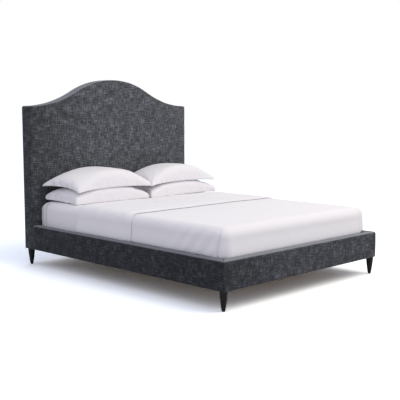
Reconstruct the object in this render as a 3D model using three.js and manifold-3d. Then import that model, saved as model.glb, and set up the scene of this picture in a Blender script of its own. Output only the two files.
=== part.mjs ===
// Upholstered queen platform bed with an arched (camelback) headboard, made up with a mattress,
// a fitted sheet, a tucked top sheet and two stacks of two pillows.
//
// Millimetres, +Z up. X runs across the bed, +Y points to the head. The origin is on the floor,
// under the middle of the whole bed.

import * as THREE from 'three';
import { mergeVertices } from 'three/addons/utils/BufferGeometryUtils.js';
import Module from 'manifold-3d';

// ---- Driving dimensions -------------------------------------------------------------------------

// Mattress: a standard queen. Everything around it is sized from it.
const mattressWidth = 1524;
const mattressLength = 2030;
const mattressThickness = 254;
const mattressCornerRadius = 62;
const mattressEdgeRadius = 46;
const mattressSideRoom = 15; // from the mattress to the padded rail, each side
const mattressFootRoom = 6;
const mattressHeadRoom = 6;

// Padded rails
const railThickness = 68;
const railBottom = 130;
const railTop = 325;
const railEdgeRadius = 17;
const railBoardThickness = 32;
const railOuterFoam = 12; // foam between the board and the fabric, on the outer face
const railTopFoam = 14;
const mitreSeam = 0.21; // half of the seam where two padded rails meet at a corner

// Headboard
const headboardThickness = 118;
const shoulderHeight = 1278;
const crownHeight = 1500;
const crownRadius = 773; // convex arc over the middle; the concave shoulder arcs follow from it
const headboardCornerRadius = 16;
const headboardEdgeRadius = 8;
const frameDepth = 68;
const postWidth = 60;
const crownRailUnderside = 1180;
const bottomRailHeight = 110;
const middleRailHeight = 70;
const middleRailUnderside = 640;
const panelThickness = 9;
const backPanelThickness = 3;

// Fabric over thin wadding, and the clearance that nested pieces keep
const fabricThickness = 4;
const fit = 0.3;

// Turned legs
const legTopRadius = 27;
const legBottomRadius = 12;
const legTaperPower = 1.5; // above 1 the taper bulges outwards
const glideRadius = 10;
const glideThickness = 3;
const studRadius = 4;
const studLength = 35;
const rearLegInset = 43; // from the back of the headboard to the rear legs' axes

// Slatted base
const slatCount = 13;
const slatWidth = 90;
const slatThickness = 18;
const slatEndInset = 15; // from the well's end to the first and last slat
const slatSideRoom = 2;
const ledgerWidth = 25;
const ledgerHeight = 40;
const ledgerTop = 236;
const ledgerEndRoom = 6;
const beamWidth = 40;
const beamHeight = 70;
const hangerSteel = 3;
const hangerSeatDepth = 35;
const bracketReach = 50;
const bracketSteel = 4;
const bracketLift = 8; // from the rails' underside to the bracket
const bracketRoom = 12; // from the bracket up to the ledger

// Centre support legs with screw-in levelling feet
const supportSize = 40;
const supportSpacing = 700;
const supportUnderside = 24;
const levellerPadRadius = 20;
const levellerPadHeight = 8;
const levellerStemRadius = 4;
const levellerStemTop = 52;
const levellerTravelUp = 12;

// Bedding
const sheetThickness = 2;
const sheetSkirt = 8; // how far below the rails' top the sheets' edges tuck
const topSheetReach = 1526; // from the foot end of the mattress to the fold where it turns back
const cuffLength = 620; // turned back over the sheet, from that fold to the hem
const cuffLoft = 5; // air between the sheet and its turned-back cuff
const pillowWidth = 756;
const pillowDepth = 415;
const pillowEdge = 8;
const pillowPull = 0.035; // how far the sides pull in between the corners, as a share of the half size
const lowerPillowCrown = 128;
const upperPillowDrape = 100; // height of the upper pillow's rim over the lower one's
const upperPillowCrown = 160;
const pillowStacks = [
  { side: 'left', x: -352, headRoom: 14 },
  { side: 'right', x: 412, headRoom: 38 },
];

// ---- Places worked out from the dimensions ---------------------------------------------------------

const outerWidth = mattressWidth + 2 * (mattressSideRoom + railThickness);
const wellLength = mattressLength + mattressFootRoom + mattressHeadRoom;
const outerLength = railThickness + wellLength + headboardThickness;
const halfWidth = outerWidth / 2;
const halfLength = outerLength / 2;
const headFace = halfLength - headboardThickness; // front face of the headboard
const footFace = railThickness - halfLength; // inner face of the foot rail
const wellHalfWidth = halfWidth - railThickness;

const boardOuter = fabricThickness + railOuterFoam; // rail's outer face to its board
const boardInner = boardOuter + railBoardThickness;
const boardMiddle = boardOuter + railBoardThickness / 2;
const boardTop = railTop - fabricThickness - railTopFoam;

// The legs stand under the middle of the rails' boards.
const legX = halfWidth - boardMiddle;
const footLegY = boardMiddle - halfLength;
const headLegY = halfLength - rearLegInset;

const slatTop = ledgerTop + slatThickness;
const beamUnderside = ledgerTop - beamHeight;
const mattressBottom = slatTop + fit;
const mattressTop = mattressBottom + mattressThickness;
const mattressCentre = footFace + mattressFootRoom + mattressLength / 2;
const fittedSheetTop = mattressTop + fit + sheetThickness;
const sheetEdge = railTop - sheetSkirt;

// ---- Solids --------------------------------------------------------------------------------------

const wasm = await Module();
wasm.setup();

// The same geometry with its shared corners merged, and each corner moved to a grid of 1/64 mm.
// 32-bit numbers hold that grid exactly, so faces that are meant to meet get the same plane.
function merged(geometry) {
  const grid = 64;
  const bare = geometry.clone();
  bare.deleteAttribute('normal');
  bare.deleteAttribute('uv');
  const welded = mergeVertices(bare, 1e-4);
  const { array } = welded.attributes.position;
  for (let i = 0; i < array.length; i += 1) {
    array[i] = Math.round(array[i] * grid) / grid;
  }
  return welded;
}

// A closed geometry as a manifold solid.
function solid(geometry) {
  const welded = merged(geometry);
  return new wasm.Manifold(new wasm.Mesh({
    numProp: 3,
    vertProperties: new Float32Array(welded.attributes.position.array),
    triVerts: new Uint32Array(welded.index.array),
  }));
}

function geometryOf(manifold) {
  const mesh = manifold.getMesh();
  const geometry = new THREE.BufferGeometry();
  geometry.setAttribute('position', new THREE.BufferAttribute(mesh.vertProperties, 3));
  geometry.setIndex(new THREE.BufferAttribute(mesh.triVerts, 1));
  return geometry;
}

// All the geometries grown together into one.
function joined(...geometries) {
  return geometryOf(wasm.Manifold.union(geometries.map(solid)));
}

// The first geometry with the others cut away from it.
function cut(geometry, ...tools) {
  const rest = tools.reduce((left, tool) => left.subtract(solid(tool)), solid(geometry));
  return geometryOf(rest);
}

function box(x0, x1, y0, y1, z0, z1) {
  const geometry = new THREE.BoxGeometry(x1 - x0, y1 - y0, z1 - z0);
  return geometry.translate((x0 + x1) / 2, (y0 + y1) / 2, (z0 + z1) / 2);
}

// Extrudes an outline drawn in X and Z along Y.
function alongY(outline, y0, y1, options = {}) {
  const settings = { depth: y1 - y0, bevelEnabled: false, curveSegments: 8, ...options };
  return new THREE.ExtrudeGeometry(outline, settings).rotateX(Math.PI / 2).translate(0, y1, 0);
}

// Extrudes an outline drawn in Y and Z along X.
function alongX(outline, x0, x1) {
  const geometry = new THREE.ExtrudeGeometry(outline, {
    depth: x1 - x0, bevelEnabled: false, curveSegments: 8,
  });
  const turn = new THREE.Matrix4().makeBasis(
    new THREE.Vector3(0, 1, 0), new THREE.Vector3(0, 0, 1), new THREE.Vector3(1, 0, 0),
  );
  return geometry.applyMatrix4(turn).translate(x0, 0, 0);
}

// Turns a profile of [radius, height] points about an upright axis.
function turned(profile, x, y, segments) {
  const points = profile.map(([radius, height]) => new THREE.Vector2(radius, height));
  return new THREE.LatheGeometry(points, segments).rotateX(Math.PI / 2).translate(x, y, 0);
}

// ---- Finishes and the list of parts ------------------------------------------------------------

const finishes = {
  upholstery: { color: 0x47484c, roughness: 0.92, metalness: 0 },
  blackCloth: { color: 0x26262a, roughness: 0.95, metalness: 0 },
  foam: { color: 0xe6ddb8, roughness: 0.95, metalness: 0 },
  pine: { color: 0xd9b98a, roughness: 0.7, metalness: 0 },
  plywood: { color: 0xc9a675, roughness: 0.7, metalness: 0 },
  lacquer: { color: 0x1b1917, roughness: 0.35, metalness: 0 },
  steel: { color: 0x8f9296, roughness: 0.4, metalness: 1 },
  nylon: { color: 0x2b2b2b, roughness: 0.6, metalness: 0 },
  ticking: { color: 0xe9e6df, roughness: 0.9, metalness: 0 },
  cotton: { color: 0xf1eff2, roughness: 0.85, metalness: 0 },
};

const group = new THREE.Group();

function add(name, finish, geometry) {
  const body = merged(geometry);
  body.computeVertexNormals();
  const mesh = new THREE.Mesh(body, new THREE.MeshStandardMaterial(finishes[finish]));
  mesh.name = name;
  group.add(mesh);
}

const sides = [['left', -1], ['right', 1]];

// A box given for the right side of the bed, and its mirror image for the left.
function sideBox(sign, x0, x1, ...rest) {
  return sign > 0 ? box(x0, x1, ...rest) : box(-x1, -x0, ...rest);
}

// ---- Headboard ---------------------------------------------------------------------------------

// The camelback outline: a convex crown arc that runs tangentially into a concave arc on each
// shoulder. Both shoulder arcs are level at the headboard's edges. `inset` moves the outline
// inwards, and the arcs keep their centres. `floor` is the height of its straight bottom edge.
function camelback(inset, floor) {
  const rise = crownHeight - shoulderHeight;
  const sweep = 2 * Math.atan(rise / halfWidth);
  const shoulderRadius = halfWidth / Math.sin(sweep) - crownRadius;
  const concave = shoulderRadius + inset;
  const corner = Math.max(headboardCornerRadius - inset, 1);
  const edge = halfWidth - inset;
  const shoulder = shoulderHeight - inset;
  const start = Math.asin((inset + corner) / concave);
  const right = -Math.PI / 2;
  const outline = new THREE.Shape();
  outline.moveTo(-edge, floor);
  outline.lineTo(edge, floor);
  outline.lineTo(edge, shoulder - corner);
  outline.quadraticCurveTo(
    edge, shoulder,
    edge - corner, shoulderHeight + shoulderRadius - concave * Math.cos(start),
  );
  outline.absarc(
    halfWidth, shoulderHeight + shoulderRadius, concave, right - start, right - sweep, true,
  );
  outline.absarc(
    0, crownHeight - crownRadius, crownRadius - inset,
    Math.PI / 2 - sweep, Math.PI / 2 + sweep, false,
  );
  outline.absarc(
    -halfWidth, shoulderHeight + shoulderRadius, concave, right + sweep, right + start, true,
  );
  outline.quadraticCurveTo(-edge, shoulder, -edge, shoulder - corner);
  outline.closePath();
  return outline;
}

const insideCover = fabricThickness + fit;
const backPanelFace = halfLength - backPanelThickness;
const frameFront = backPanelFace - frameDepth;
const panelFront = frameFront - panelThickness;

// Fabric over wadding, drawn over the front, the top and both sides, and open at the back.
function headboardCover() {
  const round = headboardEdgeRadius;
  const outside = alongY(camelback(round, railBottom + round), headFace + round, halfLength, {
    bevelEnabled: true, bevelThickness: round, bevelSize: round, bevelSegments: 3,
  });
  const reach = halfWidth * 2;
  const behind = box(-reach, reach, halfLength, halfLength + 2 * round, 0, crownHeight + round);
  const pocket = alongY(
    camelback(fabricThickness, railBottom - round), headFace + fabricThickness, halfLength + round,
  );
  return cut(outside, behind, pocket);
}

function addHeadboard() {
  add('headboard_cover', 'upholstery', headboardCover());
  add('headboard_foam', 'foam', alongY(
    camelback(insideCover, railBottom), headFace + fabricThickness, panelFront,
  ));
  add('headboard_panel', 'plywood', alongY(
    camelback(insideCover, railBottom), panelFront, frameFront,
  ));
  add('headboard_back_panel', 'blackCloth', alongY(
    camelback(insideCover, railBottom), backPanelFace, halfLength,
  ));
  add('headboard_crown_rail', 'plywood', alongY(
    camelback(insideCover, crownRailUnderside), frameFront, backPanelFace,
  ));
  const postOuter = halfWidth - insideCover;
  const postInner = postOuter - postWidth;
  for (const [side, sign] of sides) {
    const post = sideBox(
      sign, postInner, postOuter, frameFront, backPanelFace, railBottom, crownRailUnderside,
    );
    add(`headboard_post_${side}`, 'pine', cut(post, studHole(sign * legX, headLegY)));
  }
  add('headboard_middle_rail', 'pine', box(
    -postInner, postInner, frameFront, backPanelFace,
    middleRailUnderside, middleRailUnderside + middleRailHeight,
  ));
  add('headboard_bottom_rail', 'pine', box(
    -postInner, postInner, frameFront, backPanelFace, railBottom, railBottom + bottomRailHeight,
  ));
}

// ---- Side rails and foot rail --------------------------------------------------------------------

// Section of a padded rail as an inverted U: `u` is measured from the rail's outer face inwards.
// The channel inside it runs from the rail's underside up to `channelTop`.
function railSection(outer, inner, top, radius, channelOuter, channelInner, channelTop) {
  const section = new THREE.Shape();
  section.moveTo(outer, railBottom);
  section.lineTo(channelOuter, railBottom);
  section.lineTo(channelOuter, channelTop);
  section.lineTo(channelInner, channelTop);
  section.lineTo(channelInner, railBottom);
  section.lineTo(inner, railBottom);
  section.lineTo(inner, top - radius);
  section.absarc(inner - radius, top - radius, radius, 0, Math.PI / 2, false);
  section.lineTo(outer + radius, top);
  section.absarc(outer + radius, top - radius, radius, Math.PI / 2, Math.PI, false);
  section.closePath();
  return section;
}

// The fabric's channel has round inside corners, so that its thickness stays even.
function coverSection() {
  const inner = railThickness - fabricThickness;
  const top = railTop - fabricThickness;
  const round = railEdgeRadius - fabricThickness;
  const section = new THREE.Shape();
  section.moveTo(0, railBottom);
  section.lineTo(fabricThickness, railBottom);
  section.lineTo(fabricThickness, top - round);
  section.absarc(fabricThickness + round, top - round, round, Math.PI, Math.PI / 2, true);
  section.lineTo(inner - round, top);
  section.absarc(inner - round, top - round, round, Math.PI / 2, 0, true);
  section.lineTo(inner, railBottom);
  section.lineTo(railThickness, railBottom);
  section.lineTo(railThickness, railTop - railEdgeRadius);
  section.absarc(
    railThickness - railEdgeRadius, railTop - railEdgeRadius, railEdgeRadius, 0, Math.PI / 2, false,
  );
  section.lineTo(railEdgeRadius, railTop);
  section.absarc(
    railEdgeRadius, railTop - railEdgeRadius, railEdgeRadius, Math.PI / 2, Math.PI, false,
  );
  section.closePath();
  return section;
}

function foamSection() {
  return railSection(
    fabricThickness + fit, railThickness - fabricThickness - fit, railTop - fabricThickness - fit,
    railEdgeRadius - fabricThickness - fit, boardOuter - fit, boardInner + fit, boardTop + fit,
  );
}

// A rail's section swept from the foot corner to the headboard, mitred at the foot corner.
function sideRail(sign, section) {
  const geometry = alongY(section, -halfLength, headFace);
  const position = geometry.attributes.position;
  for (let i = 0; i < position.count; i += 1) {
    const inwards = position.getX(i);
    if (position.getY(i) < 0) {
      position.setY(i, inwards + mitreSeam - halfLength);
    }
  }
  // Measured inwards from the left face; the right rail is the left one's mirror image.
  geometry.translate(-halfWidth, 0, 0);
  return sign > 0 ? mirrored(geometry) : geometry;
}

// The mirror image in X, with its triangles wound the other way so that they still face out.
function mirrored(geometry) {
  const flipped = solid(geometry).mirror([1, 0, 0]);
  return geometryOf(flipped);
}

// The foot rail's section swept across the bed, mitred at both corners.
function footRail(section) {
  const geometry = alongX(section, -halfWidth, halfWidth);
  const position = geometry.attributes.position;
  for (let i = 0; i < position.count; i += 1) {
    const inwards = position.getY(i) + mitreSeam;
    position.setX(i, Math.sign(position.getX(i)) * (halfWidth - inwards));
  }
  return geometry.translate(0, -halfLength, 0);
}

function addRails() {
  const boardX0 = halfWidth - boardInner;
  const boardX1 = halfWidth - boardOuter;
  const boardY0 = boardOuter - halfLength;
  const boardY1 = boardInner - halfLength;
  for (const [side, sign] of sides) {
    add(`side_rail_cover_${side}`, 'upholstery', sideRail(sign, coverSection()));
    add(`side_rail_foam_${side}`, 'foam', sideRail(sign, foamSection()));
    add(`side_rail_board_${side}`, 'pine', sideBox(
      sign, boardX0, boardX1, boardY1, headFace, railBottom, boardTop,
    ));
    const post = sideBox(sign, boardX0, boardX1, boardY0, boardY1, railBottom, boardTop);
    add(`corner_post_${side}`, 'pine', cut(post, studHole(sign * legX, footLegY)));
  }
  add('foot_rail_cover', 'upholstery', footRail(coverSection()));
  add('foot_rail_foam', 'foam', footRail(foamSection()));
  add('foot_rail_board', 'pine', box(-boardX0, boardX0, boardY0, boardY1, railBottom, boardTop));
}

// ---- Legs ----------------------------------------------------------------------------------------

// Clearance hole for the threaded stud that fixes a leg, from the wood's underside upwards.
function studHole(x, y) {
  const radius = studRadius + fit;
  const top = railBottom + studLength + fit;
  return turned([[0, railBottom - 1], [radius, railBottom - 1], [radius, top], [0, top]], x, y, 16);
}

// Turned leg with a gentle outward swell, on a nylon glide, with its steel stud standing out of the
// top. The radius grows from the bottom with a power of the height.
function leg(x, y) {
  const steps = 8;
  const chamfer = 3;
  const foot = glideThickness;
  const profile = [[0, foot], [legBottomRadius - chamfer, foot], [legBottomRadius, foot + chamfer]];
  for (let i = 1; i <= steps; i += 1) {
    const t = i / steps;
    const swell = 1 - (1 - t) ** legTaperPower;
    profile.push([
      legBottomRadius + (legTopRadius - legBottomRadius) * swell,
      foot + chamfer + (railBottom - foot - chamfer) * t,
    ]);
  }
  const studTop = railBottom + studLength;
  profile.push([studRadius, railBottom], [studRadius, studTop], [0, studTop]);
  return turned(profile, x, y, 20);
}

function glide(x, y) {
  return turned([[0, 0], [glideRadius, 0], [glideRadius, glideThickness], [0, glideThickness]],
    x, y, 20);
}

function addLegs() {
  for (const [end, y] of [['head', headLegY], ['foot', footLegY]]) {
    for (const [side, sign] of sides) {
      add(`leg_${end}_${side}`, 'lacquer', leg(sign * legX, y));
      add(`glide_${end}_${side}`, 'nylon', glide(sign * legX, y));
    }
  }
}

// ---- Slatted base ----------------------------------------------------------------------------------

// Steel angle that ties a side rail to the headboard, under the slats: an L in plan with one leg
// along the rail and the other along the headboard's face.
function cornerBracket(sign) {
  const z0 = railBottom + bracketLift;
  const z1 = ledgerTop - ledgerHeight - bracketRoom;
  const outline = new THREE.Shape();
  outline.moveTo(0, 0);
  outline.lineTo(bracketReach, 0);
  outline.lineTo(bracketReach, bracketSteel);
  outline.lineTo(bracketSteel, bracketSteel);
  outline.lineTo(bracketSteel, bracketReach);
  outline.lineTo(0, bracketReach);
  outline.closePath();
  const angle = new THREE.ExtrudeGeometry(outline, { depth: z1 - z0, bevelEnabled: false });
  const turn = sign > 0 ? Math.PI : -Math.PI / 2;
  return angle.rotateZ(turn).translate(sign * wellHalfWidth, headFace, z0);
}

// Steel saddle that holds one end of the centre beam: a back plate, two cheeks and a seat.
function beamHanger(face, direction) {
  const half = beamWidth / 2 + fit + hangerSteel;
  const pocket = beamWidth / 2 + fit;
  const seat = beamUnderside - fit;
  const depth = hangerSeatDepth;
  const back = face + direction * hangerSteel;
  const ends = (a, b) => [Math.min(a, b), Math.max(a, b)];
  const [y0, y1] = ends(face, face + direction * depth);
  const [p0, p1] = ends(back, face + direction * (depth + 1));
  return cut(
    box(-half, half, y0, y1, seat - hangerSteel, ledgerTop - fit),
    box(-pocket, pocket, p0, p1, seat, ledgerTop + 1),
  );
}

function addBase() {
  for (const [side, sign] of sides) {
    add(`ledger_${side}`, 'pine', sideBox(
      sign, wellHalfWidth - ledgerWidth, wellHalfWidth,
      footFace + ledgerEndRoom, headFace - ledgerEndRoom, ledgerTop - ledgerHeight, ledgerTop,
    ));
    add(`corner_bracket_${side}`, 'steel', cornerBracket(sign));
  }
  const beamEnd = hangerSteel + fit;
  add('centre_beam', 'pine', box(
    -beamWidth / 2, beamWidth / 2, footFace + beamEnd, headFace - beamEnd,
    beamUnderside, ledgerTop,
  ));
  add('beam_hanger_head', 'steel', beamHanger(headFace, -1));
  add('beam_hanger_foot', 'steel', beamHanger(footFace, 1));

  const slatHalf = wellHalfWidth - slatSideRoom;
  const first = footFace + slatEndInset + slatWidth / 2;
  const last = headFace - slatEndInset - slatWidth / 2;
  for (let i = 0; i < slatCount; i += 1) {
    const y = first + ((last - first) * i) / (slatCount - 1);
    add(`slat_${String(i + 1).padStart(2, '0')}`, 'pine', box(
      -slatHalf, slatHalf, y - slatWidth / 2, y + slatWidth / 2, ledgerTop, slatTop,
    ));
  }
}

// Square support post under the centre beam. A levelling foot screws into its underside.
function supportPost(y) {
  const half = supportSize / 2;
  const radius = levellerStemRadius + fit;
  const top = levellerStemTop + levellerTravelUp + 4;
  const hole = turned(
    [[0, supportUnderside - 1], [radius, supportUnderside - 1], [radius, top], [0, top]], 0, y, 16,
  );
  return cut(box(-half, half, y - half, y + half, supportUnderside, beamUnderside), hole);
}

// Levelling foot: a round pad and a threaded stem, moulded in one piece.
function levellingFoot(y) {
  const chamfer = 2;
  return turned([
    [0, 0], [levellerPadRadius, 0], [levellerPadRadius, levellerPadHeight - chamfer],
    [levellerPadRadius - chamfer, levellerPadHeight], [levellerStemRadius, levellerPadHeight],
    [levellerStemRadius, levellerStemTop], [0, levellerStemTop],
  ], 0, y, 20);
}

function addSupports() {
  const middle = (footFace + headFace) / 2;
  for (const [end, direction] of [['head', 1], ['foot', -1]]) {
    const y = middle + (direction * supportSpacing) / 2;
    add(`centre_support_${end}`, 'pine', supportPost(y));
    add(`levelling_foot_${end}`, 'nylon', levellingFoot(y));
  }
}

// ---- Mattress and sheets ---------------------------------------------------------------------------

// The mattress grown by `offset` on every side: a rounded rectangle in plan with rolled edges.
function mattressBlock(offset) {
  const roll = mattressEdgeRadius + offset;
  const halfX = mattressWidth / 2 - mattressEdgeRadius;
  const halfY = mattressLength / 2 - mattressEdgeRadius;
  const corner = mattressCornerRadius - mattressEdgeRadius;
  const plan = new THREE.Shape();
  plan.moveTo(-halfX, corner - halfY);
  plan.absarc(corner - halfX, corner - halfY, corner, Math.PI, 1.5 * Math.PI, false);
  plan.absarc(halfX - corner, corner - halfY, corner, 1.5 * Math.PI, 2 * Math.PI, false);
  plan.absarc(halfX - corner, halfY - corner, corner, 0, 0.5 * Math.PI, false);
  plan.absarc(corner - halfX, halfY - corner, corner, 0.5 * Math.PI, Math.PI, false);
  plan.closePath();
  const geometry = new THREE.ExtrudeGeometry(plan, {
    depth: mattressThickness - 2 * mattressEdgeRadius,
    bevelEnabled: true,
    bevelThickness: roll,
    bevelSize: roll,
    bevelSegments: 4,
    curveSegments: 3,
  });
  return geometry.translate(0, mattressCentre, mattressBottom + mattressEdgeRadius);
}

// The space between two cuts across the bed, to trim a sheet with.
function across(y0, y1) {
  return box(-outerWidth, outerWidth, y0, y1, 0, crownHeight);
}

// A sheet is a thin shell drawn over the mattress and whatever lies on it, open underneath.
function sheetShell(inner, thickness, ...trims) {
  const under = box(-outerWidth, outerWidth, -outerLength, outerLength, 0, sheetEdge);
  return cut(mattressBlock(inner + thickness), mattressBlock(inner), under, ...trims);
}

// The top sheet covers the mattress from the foot, and its head end is turned back over itself.
function topSheet() {
  const fold = footFace + mattressFootRoom + topSheetReach;
  const laid = 2 * fit + sheetThickness;
  const cuff = laid + sheetThickness + cuffLoft;
  const beyondFold = across(fold, outerLength);
  return joined(
    sheetShell(laid, sheetThickness, beyondFold),
    sheetShell(cuff, sheetThickness, beyondFold, across(-outerLength, fold - cuffLength)),
    sheetShell(
      laid, cuff + sheetThickness - laid, beyondFold, across(-outerLength, fold - sheetThickness),
    ),
  );
}

function addMattress() {
  add('mattress', 'ticking', mattressBlock(0));
  add('fitted_sheet', 'cotton', sheetShell(fit, sheetThickness));
  add('top_sheet', 'cotton', topSheet());
}

// ---- Pillows -----------------------------------------------------------------------------------------

// A pillow in its case, on a grid of u across and v along, both from -1 to 1. The crown is 0 round
// the rim and 1 in the middle; the sides pull in between the corners.
function pillow(x, y, rim, topRise, bottomRise) {
  const columns = 14;
  const rows = 10;
  const crown = (u, v) => ((1 - u ** 4) * (1 - v ** 4)) ** 0.7;
  const points = [];
  const at = (top, i, j) => (top * (rows + 1) + j) * (columns + 1) + i;
  for (const top of [0, 1]) {
    for (let j = 0; j <= rows; j += 1) {
      for (let i = 0; i <= columns; i += 1) {
        const u = (2 * i) / columns - 1;
        const v = (2 * j) / rows - 1;
        const rise = top ? pillowEdge + topRise * crown(u, v) : bottomRise * crown(u, v);
        points.push(
          x + (pillowWidth / 2) * u * (1 - pillowPull * (1 - v * v)),
          y + (pillowDepth / 2) * v * (1 - pillowPull * (1 - u * u)),
          rim + rise,
        );
      }
    }
  }
  const faces = [];
  const quad = (a, b, c, d) => faces.push(a, b, c, a, c, d);
  for (let j = 0; j < rows; j += 1) {
    for (let i = 0; i < columns; i += 1) {
      quad(at(1, i, j), at(1, i + 1, j), at(1, i + 1, j + 1), at(1, i, j + 1));
      quad(at(0, i, j), at(0, i, j + 1), at(0, i + 1, j + 1), at(0, i + 1, j));
    }
    quad(at(0, 0, j), at(1, 0, j), at(1, 0, j + 1), at(0, 0, j + 1));
    quad(at(0, columns, j), at(0, columns, j + 1), at(1, columns, j + 1), at(1, columns, j));
  }
  for (let i = 0; i < columns; i += 1) {
    quad(at(0, i, 0), at(0, i + 1, 0), at(1, i + 1, 0), at(1, i, 0));
    quad(at(0, i, rows), at(1, i, rows), at(1, i + 1, rows), at(0, i + 1, rows));
  }
  const geometry = new THREE.BufferGeometry();
  geometry.setAttribute('position', new THREE.Float32BufferAttribute(points, 3));
  geometry.setIndex(faces);
  return geometry;
}

// Each stack is two pillows deep. The upper pillow drapes over the lower one's crown.
function addPillows() {
  for (const stack of pillowStacks) {
    const y = headFace - stack.headRoom - pillowDepth / 2;
    const lowerRim = fittedSheetTop + fit;
    const upperRim = lowerRim + upperPillowDrape;
    const lowerTop = lowerRim + pillowEdge + lowerPillowCrown;
    const underside = lowerTop + fit - upperRim;
    add(`pillow_lower_${stack.side}`, 'cotton', pillow(stack.x, y, lowerRim, lowerPillowCrown, 0));
    add(`pillow_upper_${stack.side}`, 'cotton', pillow(
      stack.x, y, upperRim, upperPillowCrown, underside,
    ));
  }
}

addHeadboard();
addRails();
addLegs();
addBase();
addSupports();
addMattress();
addPillows();

export default group;
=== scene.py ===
import math

import bpy
import numpy as np
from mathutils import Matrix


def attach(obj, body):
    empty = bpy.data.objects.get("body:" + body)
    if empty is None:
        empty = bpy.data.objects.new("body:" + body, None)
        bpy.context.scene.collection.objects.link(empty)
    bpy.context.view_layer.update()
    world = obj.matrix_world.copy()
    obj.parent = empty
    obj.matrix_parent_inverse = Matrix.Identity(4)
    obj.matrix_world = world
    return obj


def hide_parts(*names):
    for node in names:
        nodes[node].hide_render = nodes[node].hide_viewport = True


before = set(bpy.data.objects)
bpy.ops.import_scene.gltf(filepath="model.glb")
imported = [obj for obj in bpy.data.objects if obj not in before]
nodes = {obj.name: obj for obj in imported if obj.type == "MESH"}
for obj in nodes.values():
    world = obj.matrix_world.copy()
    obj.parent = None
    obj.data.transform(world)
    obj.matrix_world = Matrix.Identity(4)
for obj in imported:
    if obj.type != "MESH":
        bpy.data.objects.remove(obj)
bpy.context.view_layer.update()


# ---- Camera, light and floor ---------------------------------------------------------------------
# A plain studio: a low camera off the bed's foot corner, a pale floor without edges, an even pale
# sky and one wide soft lamp from the right of the foot.

camera_data = bpy.data.cameras.new("camera")
camera_data.sensor_width = 36.0
camera_data.lens = 70.68
camera_data.clip_end = 200.0
camera = bpy.data.objects.new("camera", camera_data)
camera.location = (-4.2862, -4.3696, 1.2564)
camera.rotation_euler = (math.radians(90.0 - 6.638), 0.0, math.radians(-44.82))
bpy.context.scene.collection.objects.link(camera)
bpy.context.scene.camera = camera
bpy.context.scene.view_settings.view_transform = "Standard"


def colour(code):
    """A written sRGB hex value as linear RGBA: c/12.92 when dark, else ((c + 0.055)/1.055)^2.4."""
    channels = [int(code[i : i + 2], 16) / 255 for i in (1, 3, 5)]
    linear = [c / 12.92 if c <= 0.04045 else ((c + 0.055) / 1.055) ** 2.4 for c in channels]
    return (*linear, 1.0)


def add_node(tree, kind, settings=None, inputs=None):
    """Adds a node. Settings are its attributes; inputs are values, or sockets that it is linked to."""
    made = tree.nodes.new(kind)
    for name, value in (settings or {}).items():
        setattr(made, name, value)
    for key, value in (inputs or {}).items():
        if isinstance(value, bpy.types.NodeSocket):
            tree.links.new(value, made.inputs[key])
        else:
            made.inputs[key].default_value = value
    return made


def maths(tree, operation, *values):
    """The result of one sum, product or comparison of numbers or sockets."""
    return add_node(
        tree, "ShaderNodeMath", {"operation": operation}, dict(enumerate(values))
    ).outputs[0]


def seen_directly(tree):
    """1 for rays that show a surface or the sky as such (camera, glossy, transmission), else 0."""
    path = add_node(tree, "ShaderNodeLightPath")
    seen = maths(tree, "MAXIMUM", path.outputs["Is Camera Ray"], path.outputs["Is Glossy Ray"])
    seen = maths(tree, "MAXIMUM", seen, path.outputs["Is Transmission Ray"])
    return seen


SKY_LIGHT = (0.725, 0.735, 0.825, 1.0)
SKY_SEEN = (1.0, 1.0, 1.0, 1.0)
FLOOR_LIGHT = (0.50, 0.50, 0.52, 1.0)
FLOOR_SEEN = (1.38, 1.45, 1.49, 1.0)

world = bpy.data.worlds.new("pale studio")
world.use_nodes = True
world.node_tree.nodes.clear()
bpy.context.scene.world = world
sky_colour = add_node(world.node_tree, "ShaderNodeMix", {"data_type": "RGBA"}, {
    0: seen_directly(world.node_tree), 6: SKY_LIGHT, 7: SKY_SEEN,
})
sky = add_node(world.node_tree, "ShaderNodeBackground", inputs={"Color": sky_colour.outputs[2]})
add_node(world.node_tree, "ShaderNodeOutputWorld", inputs={"Surface": sky.outputs[0]})

lamp_data = bpy.data.lights.new("soft lamp", "AREA")
lamp_data.shape = "DISK"
lamp_data.size = 6.0
lamp_data.energy = 208.0
lamp_data.color = (1.0, 0.92, 0.74)
lamp = bpy.data.objects.new("soft lamp", lamp_data)
lamp.location = (2.2, -3.6, 5.8)
lamp.rotation_euler = (math.radians(38.5), 0.0, math.radians(31.4))
bpy.context.scene.collection.objects.link(lamp)

floor_material = bpy.data.materials.new("pale studio floor")
floor_material.use_nodes = True
floor_material.node_tree.nodes.clear()
floor_colour = add_node(floor_material.node_tree, "ShaderNodeMix", {"data_type": "RGBA"}, {
    0: seen_directly(floor_material.node_tree), 6: FLOOR_LIGHT, 7: FLOOR_SEEN,
})
floor_shader = add_node(floor_material.node_tree, "ShaderNodeBsdfDiffuse",
                        inputs={"Color": floor_colour.outputs[2]})
add_node(floor_material.node_tree, "ShaderNodeOutputMaterial",
         inputs={"Surface": floor_shader.outputs[0]})
floor_mesh = bpy.data.meshes.new("floor")
floor_mesh.from_pydata(
    [(-60, -60, -0.0005), (60, -60, -0.0005), (60, 60, -0.0005), (-60, 60, -0.0005)],
    [], [(0, 1, 2, 3)],
)
floor_mesh.materials.append(floor_material)
floor = bpy.data.objects.new("floor", floor_mesh)
bpy.context.scene.collection.objects.link(floor)


# ---- Headboard frame -----------------------------------------------------------------------------
# Pine posts and cross rails, glued and screwed, with a plywood crown rail cut to the arch and a
# plywood panel over the front. It is rough timber that the fabric hides, so it is planed, not oiled.

def new_material(name):
    """An empty node material with that name, and its node tree."""
    material = bpy.data.materials.new(name)
    material.use_nodes = True
    material.node_tree.nodes.clear()
    return material, material.node_tree


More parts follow.
